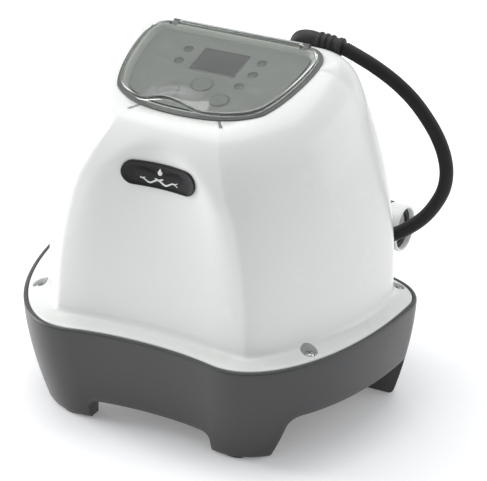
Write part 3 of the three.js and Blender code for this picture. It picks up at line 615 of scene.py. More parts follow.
# Right-angle plug: a moulded bend, a grip with soft ribs, and a collar where the cable comes out
def makeElbow():
    x, y, foot = elbow["x"], elbow["y"], elbow["foot"]
    points = [(x, y, foot), (x, y, 261.5), (x + 1.9, y, 266.2), (x + 6.5, y, 268.1), (57, y, 267.9), (72.5, y, 266.3),
              (75, y, 266.0)]
    path = smoothPath(points, 26)
    length = travelled(path)[-1]

    def radiusAt(s):
        swell = 0.0
        for rib in elbow["ribAt"]:
            away = ease(abs(s - rib), elbow["ribWidth"] * 0.35, elbow["ribWidth"] * 0.75)
            swell = max(swell, elbow["ribHeight"] * (1 - away))
        collar = elbow["collarHeight"] * ease(s, elbow["collarAt"] - 2.4, elbow["collarAt"] - 1.6)
        rim = 1.2 * ease(s, length - 1.1, length)
        shoulder = 0.5 * (1 - ease(s, 0, 1.4))
        return elbow["radius"] - 0.45 * ease(s, 20, 26) + swell + collar - rim - shoulder

    return sweep("plugElbow", path, radiusAt, 40)


def outletPlace(p):
    turn = Matrix.Rotation(math.radians(head["swing"]), 3, "Z") @ Matrix.Rotation(math.radians(head["sag"]), 3, "Y")
    x, y, z = turn @ Vector((p[2], p[1], -p[0]))
    return (x + head["x"], y + head["y"], z + head["outletZ"])


# Tapered strain relief with a hexagon collar and bending slots
def makeCellGland():
    hexagon = softened([(0, 22.4), (7.7, 22.4), (8, 23.2), (8, 26.4), (7.1, 27.6), (0, 27.6)], 0.4)
    collar = turned("cellGland", hexagon, 6, outletPlace, sharpAngle=30)
    profile = [(0, 26.5), (6.9, 26.5)]
    for step in range(5):
        start = 28 + step * 2.3
        width = 6.9 - step * 0.16
        profile += [(width, start), (width, start + 1.4), (width - 0.8, start + 1.5), (width - 0.8, start + 2.2)]
    profile += [(6.1, 39.6), (5.6, 40.2), (0, 40.2)]
    return joined(softEdges(collar, 0.35), [turned("sleeve", softened(profile, 0.3, 2), 32, outletPlace)])


jacket, cablePath = makeCable()
plug, gland = makeElbow(), makeCellGland()
dress(jacket, "cable_rubber", "housing", "cable_rubber", "cell_cable")
dress(plug, "plug_rubber", "housing", "cable_rubber", "plug_elbow")
dress(gland, "plug_rubber", "housing", "cable_rubber", "cell_gland")
print("cell cable is laid")


# Outlines of the base and the tower
rimPlan = {"frontY": -89.5, "creaseX": 66, "creaseY": -97.3, "soft": 7, "swell": 0.52, "sideX": 150.6, "sideY": 58,
           "flare": 2.5, "reach": 92, "rearX": 112, "rearY": 96, "rearRise": 5, "backY": 104}
heights = {"rim": 82.3, "shelf": 75.5, "floorTop": 41, "towerFoot": 89.5, "footBottom": 1.0, "rimLip": 3.2,
           "gap": 0.3, "footInset": 16, "leanPower": 1.6}
panel = {"tilt": math.radians(14.2), "centre": (0, 32.4, 259.1)}


def planPoints(plan, detail):
    crease = Vector((plan["creaseX"], plan["creaseY"]))
    before = crease - (crease - Vector((plan["creaseX"] / 2, plan["frontY"]))).normalized() * plan["soft"]
    swellX = (plan["sideX"] - plan["creaseX"]) * plan["swell"]
    after = crease + Vector((swellX, 2)).normalized() * plan["soft"]
    side = (plan["sideX"], plan["sideY"])
    rear = (plan["rearX"], plan["rearY"])
    reach = (plan["sideX"] - plan["rearX"]) * 0.6
    span = plan["sideX"] - plan["creaseX"]
    runs = [
        ([(0, plan["frontY"]), (plan["creaseX"] / 2, plan["frontY"]), tuple(before)], 4),
        ([tuple(before), tuple(crease), tuple(after)], 2),
        ([tuple(after), (plan["creaseX"] + span * plan["swell"], plan["creaseY"] + 2),
          (plan["sideX"] - plan["flare"], plan["sideY"] - plan["reach"]), side], 10),
        ([side, (plan["sideX"], plan["sideY"] + reach * 0.75),
          (plan["rearX"] + reach, plan["rearY"] - plan["rearRise"]), rear], 5),
        ([rear, (plan["rearX"] * 0.7, plan["rearY"] + plan["rearRise"]),
          (plan["rearX"] * 0.35, plan["backY"]), (0, plan["backY"])], 4),
    ]
    right = []
    for points, divisions in runs:
        piece = sampled(points, max(1, round(divisions * detail)))
        right += piece[1:] if right else piece
    return right + [(-x, y) for x, y in reversed(right[1:-1])]


def insetPlan(plan, inset):
    changed = dict(plan)
    for key, share in (("frontY", 1), ("creaseX", -0.5), ("creaseY", 1), ("sideX", -1), ("rearX", -0.6), ("rearY", -1),
                       ("backY", -1)):
        changed[key] = plan[key] + inset * share
    return changed


def towerPlan(height):
    rise = height - heights["towerFoot"]
    sideX = 134.5 - 34 * (max(0, height - 110) / 150) ** 2
    return {"frontY": -73.2 + 0.119 * rise, "creaseX": 65 - 29.5 * (rise / 141) ** 2, "creaseY": -77.5 + 0.07 * rise,
            "soft": 4, "swell": 0.43, "sideX": sideX, "sideY": 50, "flare": 0, "reach": 55, "rearX": sideX - 34,
            "rearY": 81, "rearRise": 0.6, "backY": 82.6}


# The same outline before the front facet is cut into it: the front bulges and the crease is gone
def roundPlan(height):
    plan = towerPlan(height)
    plan["frontY"] = plan["creaseY"] - 1.2
    plan["soft"] = min(12, plan["creaseX"] * 0.25)
    return plan


# How far back the dished front facet lies at a place
def facetY(x, height):
    plan = towerPlan(min(height, 232))
    share = x / plan["creaseX"]
    return plan["frontY"] + (plan["creaseY"] - plan["frontY"]) * share * share


def softMax(a, b, reach):
    overlap = max(0.0, reach - abs(a - b))
    return max(a, b) + overlap * overlap / (4 * reach)


def atHeight(outline, height):
    return [(x, y, height) for x, y in outline]


def roofHeight(y, lift):
    return panel["centre"][2] + lift + (y - panel["centre"][1]) * math.tan(panel["tilt"])


# Rings of the tower's wall and of its rolled roof edge
def towerRings():
    lift, detail = shell["roofLift"], shell["detail"]
    wallLevels, rollSteps = shell["wallLevels"], shell["rollSteps"]
    outline = lambda height: planPoints(roundPlan(height), detail)
    guess = outline(250)
    count = len(guess)
    tall = [outline(z) for z in range(shell["low"], shell["high"])]

    def at(height, i):
        place = min(max(height - shell["low"], 0), shell["lastStep"])
        low, share = int(place), place - int(place)
        (ax, ay), (bx, by) = tall[low][i], tall[low + 1][i]
        return (lerp(ax, bx, share), lerp(ay, by, share))

    corners = []
    for i in range(count):
        corner = guess[i]
        for _ in range(4):
            corner = at(roofHeight(corner[1], lift), i)
        corners.append(corner)
    rings = [[] for _ in range(wallLevels + rollSteps)]
    for i in range(count):
        x, y = corners[i]
        along = (Vector(corners[(i + 1) % count]) - Vector(corners[i - 1])).normalized()
        radius = shell["roll"] - shell["sideRoll"] * ease(-along.x, 0.1, 0.85)
        wallReach = radius + (shell["frontReach"] - shell["roll"]) * ease(along.x, 0.35, 0.95)
        top = roofHeight(y, lift)
        for level in range(wallLevels):
            height = lerp(heights["towerFoot"], top - wallReach, level / (wallLevels - 1))
            rings[level].append((*at(height, i), height))
        start = Vector(rings[wallLevels - 1][i])
        edge = Vector((x, y, top))
        end = Vector((x - along.y * radius, y + along.x * radius, 0))
        end.z = roofHeight(end.y, lift)
        pull = shell["rollHandle"]
        handles = [tuple(p) for p in (start, start.lerp(edge, pull), end.lerp(edge, pull), end)]
        for step in range(1, rollSteps + 1):
            rings[wallLevels + step - 1].append(bezierAt(handles, step / rollSteps))
    return rings


def baseLean(height):
    return heights["footInset"] * ((heights["rim"] - height) / heights["rim"]) ** heights["leanPower"]


def baseOutline(height, inset, detail):
    return atHeight(planPoints(insetPlan(rimPlan, baseLean(height) + inset), detail), height)


# Base, with its arches, posts and pads
base = {"detail": 6, "wallLevels": 22, "footRound": 3.0,
        "screws": [(-114.2, -45.6), (114.2, -45.6), (-128.5, 76), (128.5, 76)],
        "pads": [(-68, -74.9, 9, 4.2), (68, -74.9, 9, 4.2), (-88, 72.5, 11, 7.5), (88, 72.5, 11, 7.5)],
        "archHeight": 18.5, "archHalf": 52, "archCorner": 8, "glandAt": (-62, 52), "glandFrom": 90.6}
corners = ("front_left", "front_right", "rear_left", "rear_right")


def frontArch():
    half, top = base["archHalf"], base["archHeight"]
    outline = softened([(-half, -5), (-half, top), (half, top), (half, -5)], base["archCorner"], 8)
    place = lambda p: (p[0], p[2], p[1])
    return prism("frontArch", outline, -160, 160, place)


def sideArch():
    bend = softened([(-68.5, -2), (-66.2, 37.6), (57, 33), (63.6, 32.8), (63, 24), (58, -2)], 9, 8)
    outline = [(-68.5, -3), *bend[1:], (58, -3)]
    place = lambda p: (p[2], p[0], p[1])
    return prism("sideArch", outline, -170, 170, place)


def makeBase():
    detail = base["detail"]
    low, high = heights["footBottom"], heights["rim"]
    rings = []
    for step in range(5):
        angle = math.radians(22.5 * step)
        inset = base["footRound"] * (1 - math.sin(angle))
        rings.append(baseOutline(low + base["footRound"] * (1 - math.cos(angle)), inset, detail))
    for level in range(1, base["wallLevels"]):
        rings.append(baseOutline(lerp(low + base["footRound"], high - 1.6, level / base["wallLevels"]), 0, detail))
    for inset, drop in ((0, 1.6), (0.1, 1.05), (0.38, 0.55), (0.85, 0.18), (1.5, 0)):
        rings.append(baseOutline(high - drop, inset, detail))
    body = meshPiece("baseHousing", rings)
    shelf = heights["shelf"]
    cavityRings = [baseOutline(z, 4 + (5 if z > 70 else 0), 3) for z in (heights["floorTop"], 50, 62, shelf + 0.1)]
    cavity = meshPiece("cavity", cavityRings)
    lip = [(heights["rimLip"], shelf), (heights["rimLip"], high - 0.7), (heights["rimLip"] - 0.6, high + 0.2),
           (heights["rimLip"] - 0.6, high + 2)]
    pocket = meshPiece("pocket", [atHeight(planPoints(insetPlan(rimPlan, inset), detail), z) for inset, z in lip])
    padPockets = [rod("padPocket", 1, -2, 2.5, 40, padPlace(*pad, 0.3)) for pad in base["pads"]]
    x, z = base["glandAt"]
    glandHole = rod("glandHole", 7, 60, 120, 32, lambda p: (p[0] + x, p[2], p[1] + z))
    carve(body, [cavity, pocket, frontArch(), sideArch(), glandHole, *padPockets])
    posts = [rod("post", 5.2, 45.5, shelf, 24, upright(*spot)) for spot in base["screws"]]
    carve(body, posts, "UNION")
    pilots = [rod("pilot", 2, 61, 86, 16, upright(*spot)) for spot in base["screws"]]
    carve(body, pilots)
    return softEdges(body, 0.9, 38, 3)


def padPlace(x, y, halfLength, halfDepth, slack):
    return lambda p: (x + p[0] * (halfLength + slack), y + p[1] * (halfDepth + slack), p[2])


# Oval rubber pad with two rings of grip moulded into the sole
def makePad(name, pad):
    profile = [(0, 0.5), (0.3, 0.5), (0.34, 0.0), (0.5, 0.0), (0.54, 0.5), (0.66, 0.5), (0.7, 0.0), (0.93, 0.0), (1, 0.45),
               (1, 2.0), (0.96, 2.2), (0, 2.2)]
    return turned(name, profile, 56, padPlace(*pad, 0), sharpAngle=28)


dress(makeBase(), "grey_base", "housing", "grey_base", "base_housing")
for corner, pad in zip(corners, base["pads"]):
    dress(makePad(f"footPad_{corner}", pad), "seal_rubber", "housing", "seal_rubber", f"foot_pad_{corner}")
print("base is moulded")


# White upper housing
shell = {"detail": 6, "wallLevels": 30, "wallFrom": 94, "rollSteps": 16, "frontReach": 47,
         "facetReach": 3.2, "facetHalf": 92, "facetFrom": 82.5, "facetFull": 90.5, "seat": 80.8, "recessRadius": 5.9, "recessTail": 3.6,
         "roofLift": 0.3, "roll": 30, "sideRoll": 15, "rollHandle": 0.56, "low": 85, "high": 275, "lastStep": 188.999,
         "hollow": [(73.5, 3.5), (89.5, 3.3), (130, 3.3), (170, 3.5), (190, 5), (210, 9), (224, 16), (234, 26)]}
ledgeSteps = [(0, 77.1), (0, 80.6), (0.004, 81.3), (0.013, 81.9), (0.032, 82.35), (0.07, 82.7), (0.16, 83.1), (0.3, 83.75),
              (0.45, 84.55), (0.6, 85.4), (0.72, 86.15), (0.8, 86.8), (0.87, 87.6), (0.925, 88.7), (0.963, 90.2),
              (0.985, 92.2)]

recessSteps = [(shell["seat"], 0, 1), (84, 0.35, 1), (86.2, 0.5, 0.85), (87.6, 0.1, 0.35), (89.2, -0.8, 0.05), (92, -2.2, 0)]


def facetCut(rings):
    low, full, halfWidth = shell["facetFrom"], shell["facetFull"], shell["facetHalf"]
    cutRings = []
    for ring in rings:
        row = []
        for x, y, z in ring:
            deep = facetY(x, z) if y < 0 and abs(x) < halfWidth else -999
            row.append((x, lerp(y, softMax(y, deep, shell["facetReach"]), ease(z, low, full)), z))
        cutRings.append(row)
    return cutRings


# Recess of a case screw: round over the screw, drawn out a little towards the tower's foot
def screwRecess(x, y):
    towards = math.atan2(12 - y, -x)
    rings = []
    for height, grow, tail in recessSteps:
        radius = shell["recessRadius"] + grow
        ring = []
        for i in range(56):
            angle = math.tau * i / 56
            stretch = shell["recessTail"] * tail * max(0, math.cos(angle)) ** 3
            px, py = math.cos(angle) * (radius + stretch), math.sin(angle) * radius
            ring.append((x + px * math.cos(towards) - py * math.sin(towards),
                         y + px * math.sin(towards) + py * math.cos(towards), height))
        rings.append(ring)
    return meshPiece("screwRecess", rings)


def panelPlace(p):
    x, y, z = p
    cosine, sine = math.cos(panel["tilt"]), math.sin(panel["tilt"])
    cx, cy, cz = panel["centre"]
    return (x + cx, y * cosine - z * sine + cy, y * sine + z * cosine + cz)


def panelOutline(inset, back=36, density=4):
    frontY, backY = -66 + inset, back - inset
    shoulder = (58.8 - inset * 0.8, -48 + inset * 0.4)
    side = (72.3 - inset, 17)
    runs = [
        ([(0, frontY), (24, frontY), (47 - inset * 0.4, -62 + inset * 0.8), shoulder], 7),
        ([shoulder, (67.3 - inset, -34), (72.8 - inset, -4), side], 6),
        ([side, (71.8 - inset, 29 - inset * 0.3), (65.3 - inset * 0.5, backY), (54 - inset * 0.3 + 1, backY)], 5),
    ]
    right = []
    for points, divisions in runs:
        piece = sampled(points, divisions * density)
        right += piece[1:] if right else piece
    return right + [(-x, y) for x, y in reversed(right[1:])]


def makeShell():
    detail = shell["detail"]
    edge = planPoints(insetPlan(rimPlan, heights["rimLip"] + heights["gap"]), detail)
    rings = []
    for share, height in ledgeSteps:
        foot = planPoints(roundPlan(max(height, heights["towerFoot"])), detail)
        rings.append([(lerp(a[0], b[0], share), lerp(a[1], b[1], share), height) for a, b in zip(edge, foot)])
    rings += [ring for ring in towerRings() if ring[0][2] > shell["wallFrom"]]
    body = meshPiece("upperHousing", facetCut(rings))
    x, y = elbow["x"], elbow["y"]
    boss = turned("boss", softened([(0, 192), (2.5, 196), (7, 208), (12, 221), (12, 251.5), (0, 251.5)], 5, 6), 48,
                  lambda p: (p[0] + x, p[1] + y - 2 - 6 * (1 - ease(p[2], 192, 224)), p[2]))
    carve(body, [boss], "UNION")
    inner = [atHeight(planPoints(insetPlan(towerPlan(max(z, heights["towerFoot"])), inset), 2), z)
             for z, inset in shell["hollow"]]
    hollow = meshPiece("hollow", inner)
    well = prism("well", panelOutline(1.4), -30, 12, panelPlace)
    holes = [rod("socketHole", 8.3, 226, 286, 40, upright(x, y)),
             rod("socketSeat", 10.2, 251.2, 291, 40, upright(x, y))]
    bores = [rod("bore", 2.2, 63, 93, 20, upright(*spot)) for spot in base["screws"]]
    carve(body, [hollow, *holes, *[screwRecess(*spot) for spot in base["screws"]], *bores])
    return carve(softEdges(body, 0.55, 40, 3), [well])


body = dress(makeShell(), "white_housing", "housing", "white_housing", "upper_housing")
print("housing is moulded")


# Case screws, from one screw set on four points
screw = {"headRadius": 4.3, "headHeight": 2.3, "shank": 1.7, "slotWidth": 0.95, "slotLength": 4.5, "slotDepth": 1.4}


def makeOneScrew():
    r, h = screw["headRadius"], screw["headHeight"]
    profile = softened([(0, -12.5), (screw["shank"], -11), (screw["shank"], 0.3), (r, 0.3), (r, 1.15),
                        (r * 0.72, h + 0.25), (0, h + 0.7)], 0.7, 5)
    body = turned("oneScrew", profile, 48, upright(0, middleY))
    across = (screw["slotLength"], screw["slotWidth"])
    slotAt = (0, middleY, h + 0.75 - screw["slotDepth"] + 2)
    carve(body, [boxAt("slot", (*size, 4), slotAt) for size in (across, across[::-1])])
    return softEdges(body, 0.12, 40, 2)


def startTree(name, inputs):
    tree = bpy.data.node_groups.new(name, "GeometryNodeTree")
    tree.interface.new_socket("Geometry", in_out="INPUT", socket_type="NodeSocketGeometry")
    for label, kind in inputs:
        tree.interface.new_socket(label, in_out="INPUT", socket_type=f"NodeSocket{kind}")
    tree.interface.new_socket("Geometry", in_out="OUTPUT", socket_type="NodeSocketGeometry")
    return tree, tree.nodes.new("NodeGroupInput"), tree.nodes.new("NodeGroupOutput")


def addNodes(tree, *kinds):
    return [tree.nodes.new(kind) for kind in kinds]


# Sets copies of a piece on the points of another, each turned by chance about its own axis
def makeSpreadTree():
    tree, start, end = startTree("spreadOnPoints", [
        ("Piece", "Object"), ("Finish", "Material"), ("Turn", "Float"), ("Seed", "Int"),
    ])
    source, toPoints, chance, spin, spread, real, paint = addNodes(
        tree, "GeometryNodeObjectInfo", "GeometryNodeMeshToPoints", "FunctionNodeRandomValue", "ShaderNodeCombineXYZ",
        "GeometryNodeInstanceOnPoints", "GeometryNodeRealizeInstances", "GeometryNodeSetMaterial")
    link = tree.links.new
    link(start.outputs["Piece"], source.inputs["Object"])
    link(start.outputs["Geometry"], toPoints.inputs["Mesh"])
    link(start.outputs["Turn"], chance.inputs[3])
    link(start.outputs["Seed"], chance.inputs["Seed"])
    link(chance.outputs[1], spin.inputs["Z"])
    link(toPoints.outputs["Points"], spread.inputs["Points"])
    link(source.outputs["Geometry"], spread.inputs["Instance"])
    link(spin.outputs[0], spread.inputs["Rotation"])
    link(spread.outputs["Instances"], real.inputs["Geometry"])
    link(real.outputs["Geometry"], paint.inputs["Geometry"])
    link(start.outputs["Finish"], paint.inputs["Material"])
    link(paint.outputs["Geometry"], end.inputs["Geometry"])
    return tree


# Ribs round a circle: each rib is a rounded bar that stands on the ring
def makeGripTree():
    tree, start, end = startTree("gripRibs", [
        ("Count", "Int"), ("Ring Radius", "Float"), ("Rib Radius", "Float"), ("Rib Length", "Float"), ("Finish", "Material"),
    ])
    ring, toPoints, rib, stretch, shape, spread, real, blend, paint = addNodes(
        tree, "GeometryNodeMeshCircle", "GeometryNodeMeshToPoints", "GeometryNodeMeshUVSphere", "ShaderNodeCombineXYZ",
        "GeometryNodeTransform", "GeometryNodeInstanceOnPoints", "GeometryNodeRealizeInstances",
        "GeometryNodeJoinGeometry", "GeometryNodeSetMaterial")
    rib.inputs["Segments"].default_value = 10
    rib.inputs["Rings"].default_value = 8
    rib.inputs["Radius"].default_value = 1.0
    link = tree.links.new
    link(start.outputs["Count"], ring.inputs["Vertices"])
    link(start.outputs["Ring Radius"], ring.inputs["Radius"])
    link(ring.outputs["Mesh"], toPoints.inputs["Mesh"])
    for axis, label in (("X", "Rib Radius"), ("Y", "Rib Radius"), ("Z", "Rib Length")):
        link(start.outputs[label], stretch.inputs[axis])
    link(rib.outputs["Mesh"], shape.inputs["Geometry"])
    link(stretch.outputs[0], shape.inputs["Scale"])
    link(toPoints.outputs["Points"], spread.inputs["Points"])
    link(shape.outputs["Geometry"], spread.inputs["Instance"])
    link(spread.outputs["Instances"], real.inputs["Geometry"])
    link(real.outputs["Geometry"], blend.inputs["Geometry"])
    link(start.outputs["Geometry"], blend.inputs["Geometry"])
    link(blend.outputs["Geometry"], paint.inputs["Geometry"])
    link(start.outputs["Finish"], paint.inputs["Material"])
    link(paint.outputs["Geometry"], end.inputs["Geometry"])
    return tree


def runTree(piece, tree, values):
    change = piece.modifiers.new("tree", "NODES")
    change.node_group = tree
    for item in tree.interface.items_tree:
        if item.item_type == "SOCKET" and item.in_out == "INPUT" and item.name in values:
            change[item.identifier] = values[item.name]
    settle(piece)
    smooth(piece, 40)
    return piece


spreadTree, gripTree = makeSpreadTree(), makeGripTree()


def makeScrews():
    one = makeOneScrew()
    spots = bpy.data.meshes.new("caseScrews")
    spots.from_pydata([inMetres((x, y, shell["seat"])) for x, y in base["screws"]], [], [])
    screws = bpy.data.objects.new("caseScrews", spots)
    bpy.context.collection.objects.link(screws)
    runTree(screws, spreadTree, {"Piece": one, "Finish": paints["screw_steel"], "Turn": math.tau, "Seed": 7})
    bpy.data.objects.remove(one)
    return screws


dress(makeScrews(), "screw_steel", "housing", "screw_steel", *[f"case_screw_{corner}" for corner in corners])
print("screws are in")


# Badge: a black pill on the front, with a plain drop and two ripples
badge = {"x": 1.2, "z": 205.6, "half": 21.3, "radius": 9.3,
         "edge": [(0, -0.3), (0, 1.0), (0.15, 1.5), (0.5, 1.8), (1.1, 1.9), (1.5, 1.75), (1.9, 1.6)],
         "dropRadius": 1.9, "dropZ": 3.0, "waveDrops": (-1.2, -4.0), "waveHeight": 1.35, "waveLength": 13}


def skinTree(piece):
    return BVHTree.FromObject(piece, bpy.context.evaluated_depsgraph_get())


frontSkin = skinTree(body)


def frontYAt(x, z):
    start = inMetres((x, -150, z))
    hit = frontSkin.ray_cast(start, Vector((0, 1, 0)))[0]
    return hit.y / mm + middleY if hit else -60.0


# Two half circles and the straight runs between them, all in short steps so that it follows the dished front
def pillOutline(inset, arcSteps=24, runSteps=16):
    radius, half = badge["radius"] - inset, badge["half"]
    points = []
    for side in (1, -1):
        points += [(side * (half + math.cos(angle) * radius), side * math.sin(angle) * radius)
                   for angle in (math.pi * (i / arcSteps - 0.5) for i in range(arcSteps + 1))]
        points += [(side * lerp(half, -half, i / runSteps), side * radius) for i in range(1, runSteps)]
    return points


def onFront(x, z, stand):
    x, z = x + badge["x"], z + badge["z"]
    return (x, frontYAt(x, z) - stand, z)


def makeBadge():
    rings = []
    for inset, stand in badge["edge"]:
        rings.append([onFront(x, z, stand) for x, z in pillOutline(inset)])
    for share in (0.75, 0.5, 0.25, 0.02):
        rings.append([onFront(x * (0.35 + 0.65 * share), z * share, stand) for x, z in pillOutline(inset)])
    return meshPiece("badgePill", rings)


# Flat stroke of even width along 2-D points, with its thickness between two stands
def ribbon(name, line, width, low, high, setPoint, closed=False, taper=0.0):
    count = len(line)
    rings = []
    for i, (x, y) in enumerate(line):
        before = Vector(line[i - 1] if closed or i else line[0])
        after = Vector(line[(i + 1) % count] if closed or i < count - 1 else line[-1])
        along = (after - before).normalized()
        half = width / 2 * (1 - taper * abs(2 * i / max(1, count - 1) - 1) ** 2)
        left, right = (x - along.y * half, y + along.x * half), (x + along.y * half, y - along.x * half)
        rings.append([setPoint(*left, low), setPoint(*left, high), setPoint(*right, high), setPoint(*right, low)])
    return meshPiece(name, rings, closed=closed)


def makeBadgeMark():
    waves = []
    for drop in badge["waveDrops"]:
        line = [(x / 4, drop + badge["waveHeight"] * math.sin(x / 4 * math.tau / badge["waveLength"] + drop))
                for x in range(-62, 63, 3)]
        waves.append(ribbon("ripple", line, 1.3, 1.2, 2.1, onFront, taper=0.6))
    drop = []
    radius, sides, centre = badge["dropRadius"], 28, 3.4
    for i in range(sides):
        angle = math.tau * i / sides
        pull = max(0, math.sin(angle)) ** 3
        drop.append((math.cos(angle) * radius * (1 - 0.75 * pull), badge["dropZ"] + math.sin(angle) * (radius + 1.6 * pull)))
    rings = [[onFront(x * size, centre + (z - centre) * size, stand) for x, z in drop]
             for size, stand in ((1, 1.2), (1, 2.0), (0.86, 2.1), (0.4, 2.12))]
    return joined(meshPiece("badgeMark", rings), waves)


dress(makeBadge(), "badge_black", "housing", "badge_black", "badge")
dress(makeBadgeMark(), "badge_mark", "housing", "badge_black")
print("badge is on")


# Control panel: bezel, keypad film, lamps and keys, in the panel's own plane
hinge = {"back": 35.6, "height": 2.8, "barrel": 2.1, "pinRoom": 1.2, "halfLength": 51.5, "earX": 54.6}
bezelSection = [(-1.8, 0.5), (-1.8, 1.0), (-0.9, 1.35), (3.5, 1.35), (4.6, 1.0), (7.3, -1.75), (8.1, -2.3), (12.5, -2.3),
                (12.5, -4.5), (1.8, -4.5), (1.8, 0.5)]
lamps = [("indicator_power", -30.8, 8.6), ("indicator_pump", -30.8, -6.4), ("indicator_high", 30.8, 8.6),
         ("indicator_low", 30.8, -6.4), ("indicator_service", 27.5, -22.2)]
keys = {"power": (0, -28.6, 8.6), "timer": (-21, -42, 7.6), "boost": (21, -42, 7.6)}
keypad = {"top": -0.6, "bottom": -2.2, "inset": 8.4, "slack": 0.28, "lensRadius": 3.5, "display": (37.4, 27.8)}


def panelRings(section, back=36):
    return [[panelPlace((x, y, z)) for x, y in panelOutline(inset, back)] for inset, z in section]


def fromPanel(point):
    x, y, z = Vector(point) - Vector(panel["centre"])
    cosine, sine = math.cos(panel["tilt"]), math.sin(panel["tilt"])
    return (x, y * cosine + z * sine, z * cosine - y * sine)


def within(point, outline):
    x, y = point[0], point[1]
    inside = False
    for (ax, ay), (bx, by) in zip(outline, outline[1:] + outline[:1]):
        if (ay > y) != (by > y) and x < ax + (y - ay) * (bx - ax) / (by - ay):
            inside = not inside
    return inside


def alongX(y, z):
    return lambda p: panelPlace((p[2], p[0] + y, p[1] + z))


def makeBezel():
    ring = meshPiece("panelBezel", panelRings(softened(bezelSection, 0.5, 3, closed=True)), closed=True)
    back, height, barrel = hinge["back"], hinge["height"], hinge["barrel"]
    trough = rod("trough", barrel + 0.3, -52.2, 52.2, 32, alongX(back, height))
    carve(ring, [trough])
    ears = []
    for side in (-1, 1):
        x = side * hinge["earX"]
        ears.append(rod("ear", barrel, x - 2.5, x + 2.5, 32, alongX(back, height), 0.5, 4))
        ears.append(boxAt("earFoot", (5, barrel * 2, 2.4), (x, back, height - 1.3), panelPlace, 0.6))
    softEdges(ring, 0.25, 42, 2)
    return joined(ring, ears)


def inPanel(x, y):
    return lambda p: panelPlace((p[0] + x, p[1] + y, p[2]))


def makeKeypad():
    top, bottom, inset = keypad["top"], keypad["bottom"], keypad["inset"]
    section = [(inset, bottom), (inset, top - 0.25), (inset + 0.08, top - 0.08), (inset + 0.3, top)]
    film = meshPiece("keypadOverlay", panelRings(section))
    slack = keypad["slack"]
    width, depth = keypad["display"]
    tools = [boxAt("window", (width + slack * 2, depth + slack * 2, 6), (0, 0, -1), panelPlace, 1.0)]
    for _, x, y in lamps:
        radius = keypad["lensRadius"] + slack
        tools.append(rod("lampHole", radius, -4, 2, 40, inPanel(x, y)))
    for x, y, radius in keys.values():
        tools.append(rod("keyHole", radius + slack, -4, 2, 64, inPanel(x, y)))
    carve(film, tools)
    return softEdges(film, 0.12, 40, 2)


# Key: a stemmed cap with a dished top and a raised printed ring; its sign is a second colour
def makeKey(name, x, y, radius):
    top = keypad["top"] + 0.45
    profile = [(0, -5.2), (3, -5.2), (3, -1.3), (radius, -1.3), (radius, top - 0.3), (radius - 0.35, top),
               (radius - 1.5, top), (radius - 2.0, top - 0.22), (2.5, top - 0.32), (0, top - 0.34)]
    return turned(name, softened(profile, 0.25, 3), 72, inPanel(x, y), sharpAngle=28)


def arc(radius, start, end, count=36):
    angles = [math.radians(lerp(start, end, i / count)) for i in range(count + 1)]
    return [(radius * math.cos(angle), radius * math.sin(angle)) for angle in angles]


def makeSign(name, x, y, radius):
    low, high = keypad["top"] + 0.05, keypad["top"] + 0.24
    setPoint = lambda px, py, h: panelPlace((px + x, py + y, h))
    topPoint = lambda px, py, h: panelPlace((px + x, py + y, h + 0.24))
    full = arc(radius - 0.95, 0, 360)[:-1]
    strokes = [ribbon("rim", full, 1.1, low, high + 0.03, topPoint, closed=True)]
    if name == "power":
        strokes += [ribbon("loop", arc(3.4, 125, 415), 1.0, low, high, setPoint),
                    ribbon("bar", [(0, 1.0), (0, 4.8)], 1.0, low, high, setPoint)]
    elif name == "timer":
        strokes += [ribbon("dial", arc(3.2, 0, 360)[:-1], 0.9, low, high, setPoint, closed=True),
                    ribbon("hand", [(0, 2.2), (0, 0), (1.6, -0.9)], 0.85, low, high, setPoint)]
    else:
        for shift in (-2.0, 0.9):
            arrow = [(shift - 0.6, 2.4), (shift + 1.7, 0), (shift - 0.6, -2.4)]
            strokes.append(ribbon("arrow", arrow, 1.0, low, high, setPoint))
    return joined(strokes[0], strokes[1:])


def makeLens(name, x, y):
    r = keypad["lensRadius"]
    profile = [(0, -2.2), (r, -2.2), (r, -0.75), (r - 0.2, -0.5), (r * 0.6, -0.36), (0, -0.3)]
    return turned(name, softened(profile, 0.2, 2), 48, inPanel(x, y), sharpAngle=28)


# Window with a frame that steps down to the glass
def makeDisplay():
    width, depth = keypad["display"]
    rings = []
    for inset, z in ((0, -1.9), (0, -0.72), (0.12, -0.55), (0.35, -0.5), (1.6, -0.5), (1.75, -0.62), (2.2, -0.66)):
        halfWidth, halfDepth = width / 2 - inset, depth / 2 - inset
        frameLine = [(a * halfWidth, b * halfDepth) for a, b in ((-1, -1), (1, -1), (1, 1), (-1, 1))]
        frameLine = softened(frameLine, max(0.2, 1.0 - inset * 0.3), 5, closed=True)
        rings.append([panelPlace((x, y, z)) for x, y in frameLine])
    return meshPiece("displayWindow", rings, 25)


bezel = dress(makeBezel(), "bezel_grey", "housing", "bezel_grey", "panel_bezel")
# Painted shade: faces of the bezel outside this line take the dark lip finish in place of the shade under the cover's
# skirt
lipShadeLine = panelOutline(1.9)
secondPaint(bezel, "bezel_lip_painted_shade", lambda at, normal: not within(fromPanel(at), lipShadeLine))
dress(makeKeypad(), "keypad_film", "housing", "keypad_film", "keypad_overlay")
dress(makeDisplay(), "display_window", "housing", "display_window", "display_window")
for name, x, y in lamps:
    dress(makeLens(name.replace("indicator_", "lamp_"), x, y), "indicator_lens", "housing", "indicator_lens", name)
for name, (x, y, radius) in keys.items():
    dress(makeKey(f"keyCap_{name}", x, y, radius), "keypad_film", f"{name}_key", "keypad_film", f"key_{name}")
    dress(makeSign(name, x, y, radius), "keypad_print", f"{name}_key", "keypad_film").name = f"keySign_{name}"
print("panel is fitted")


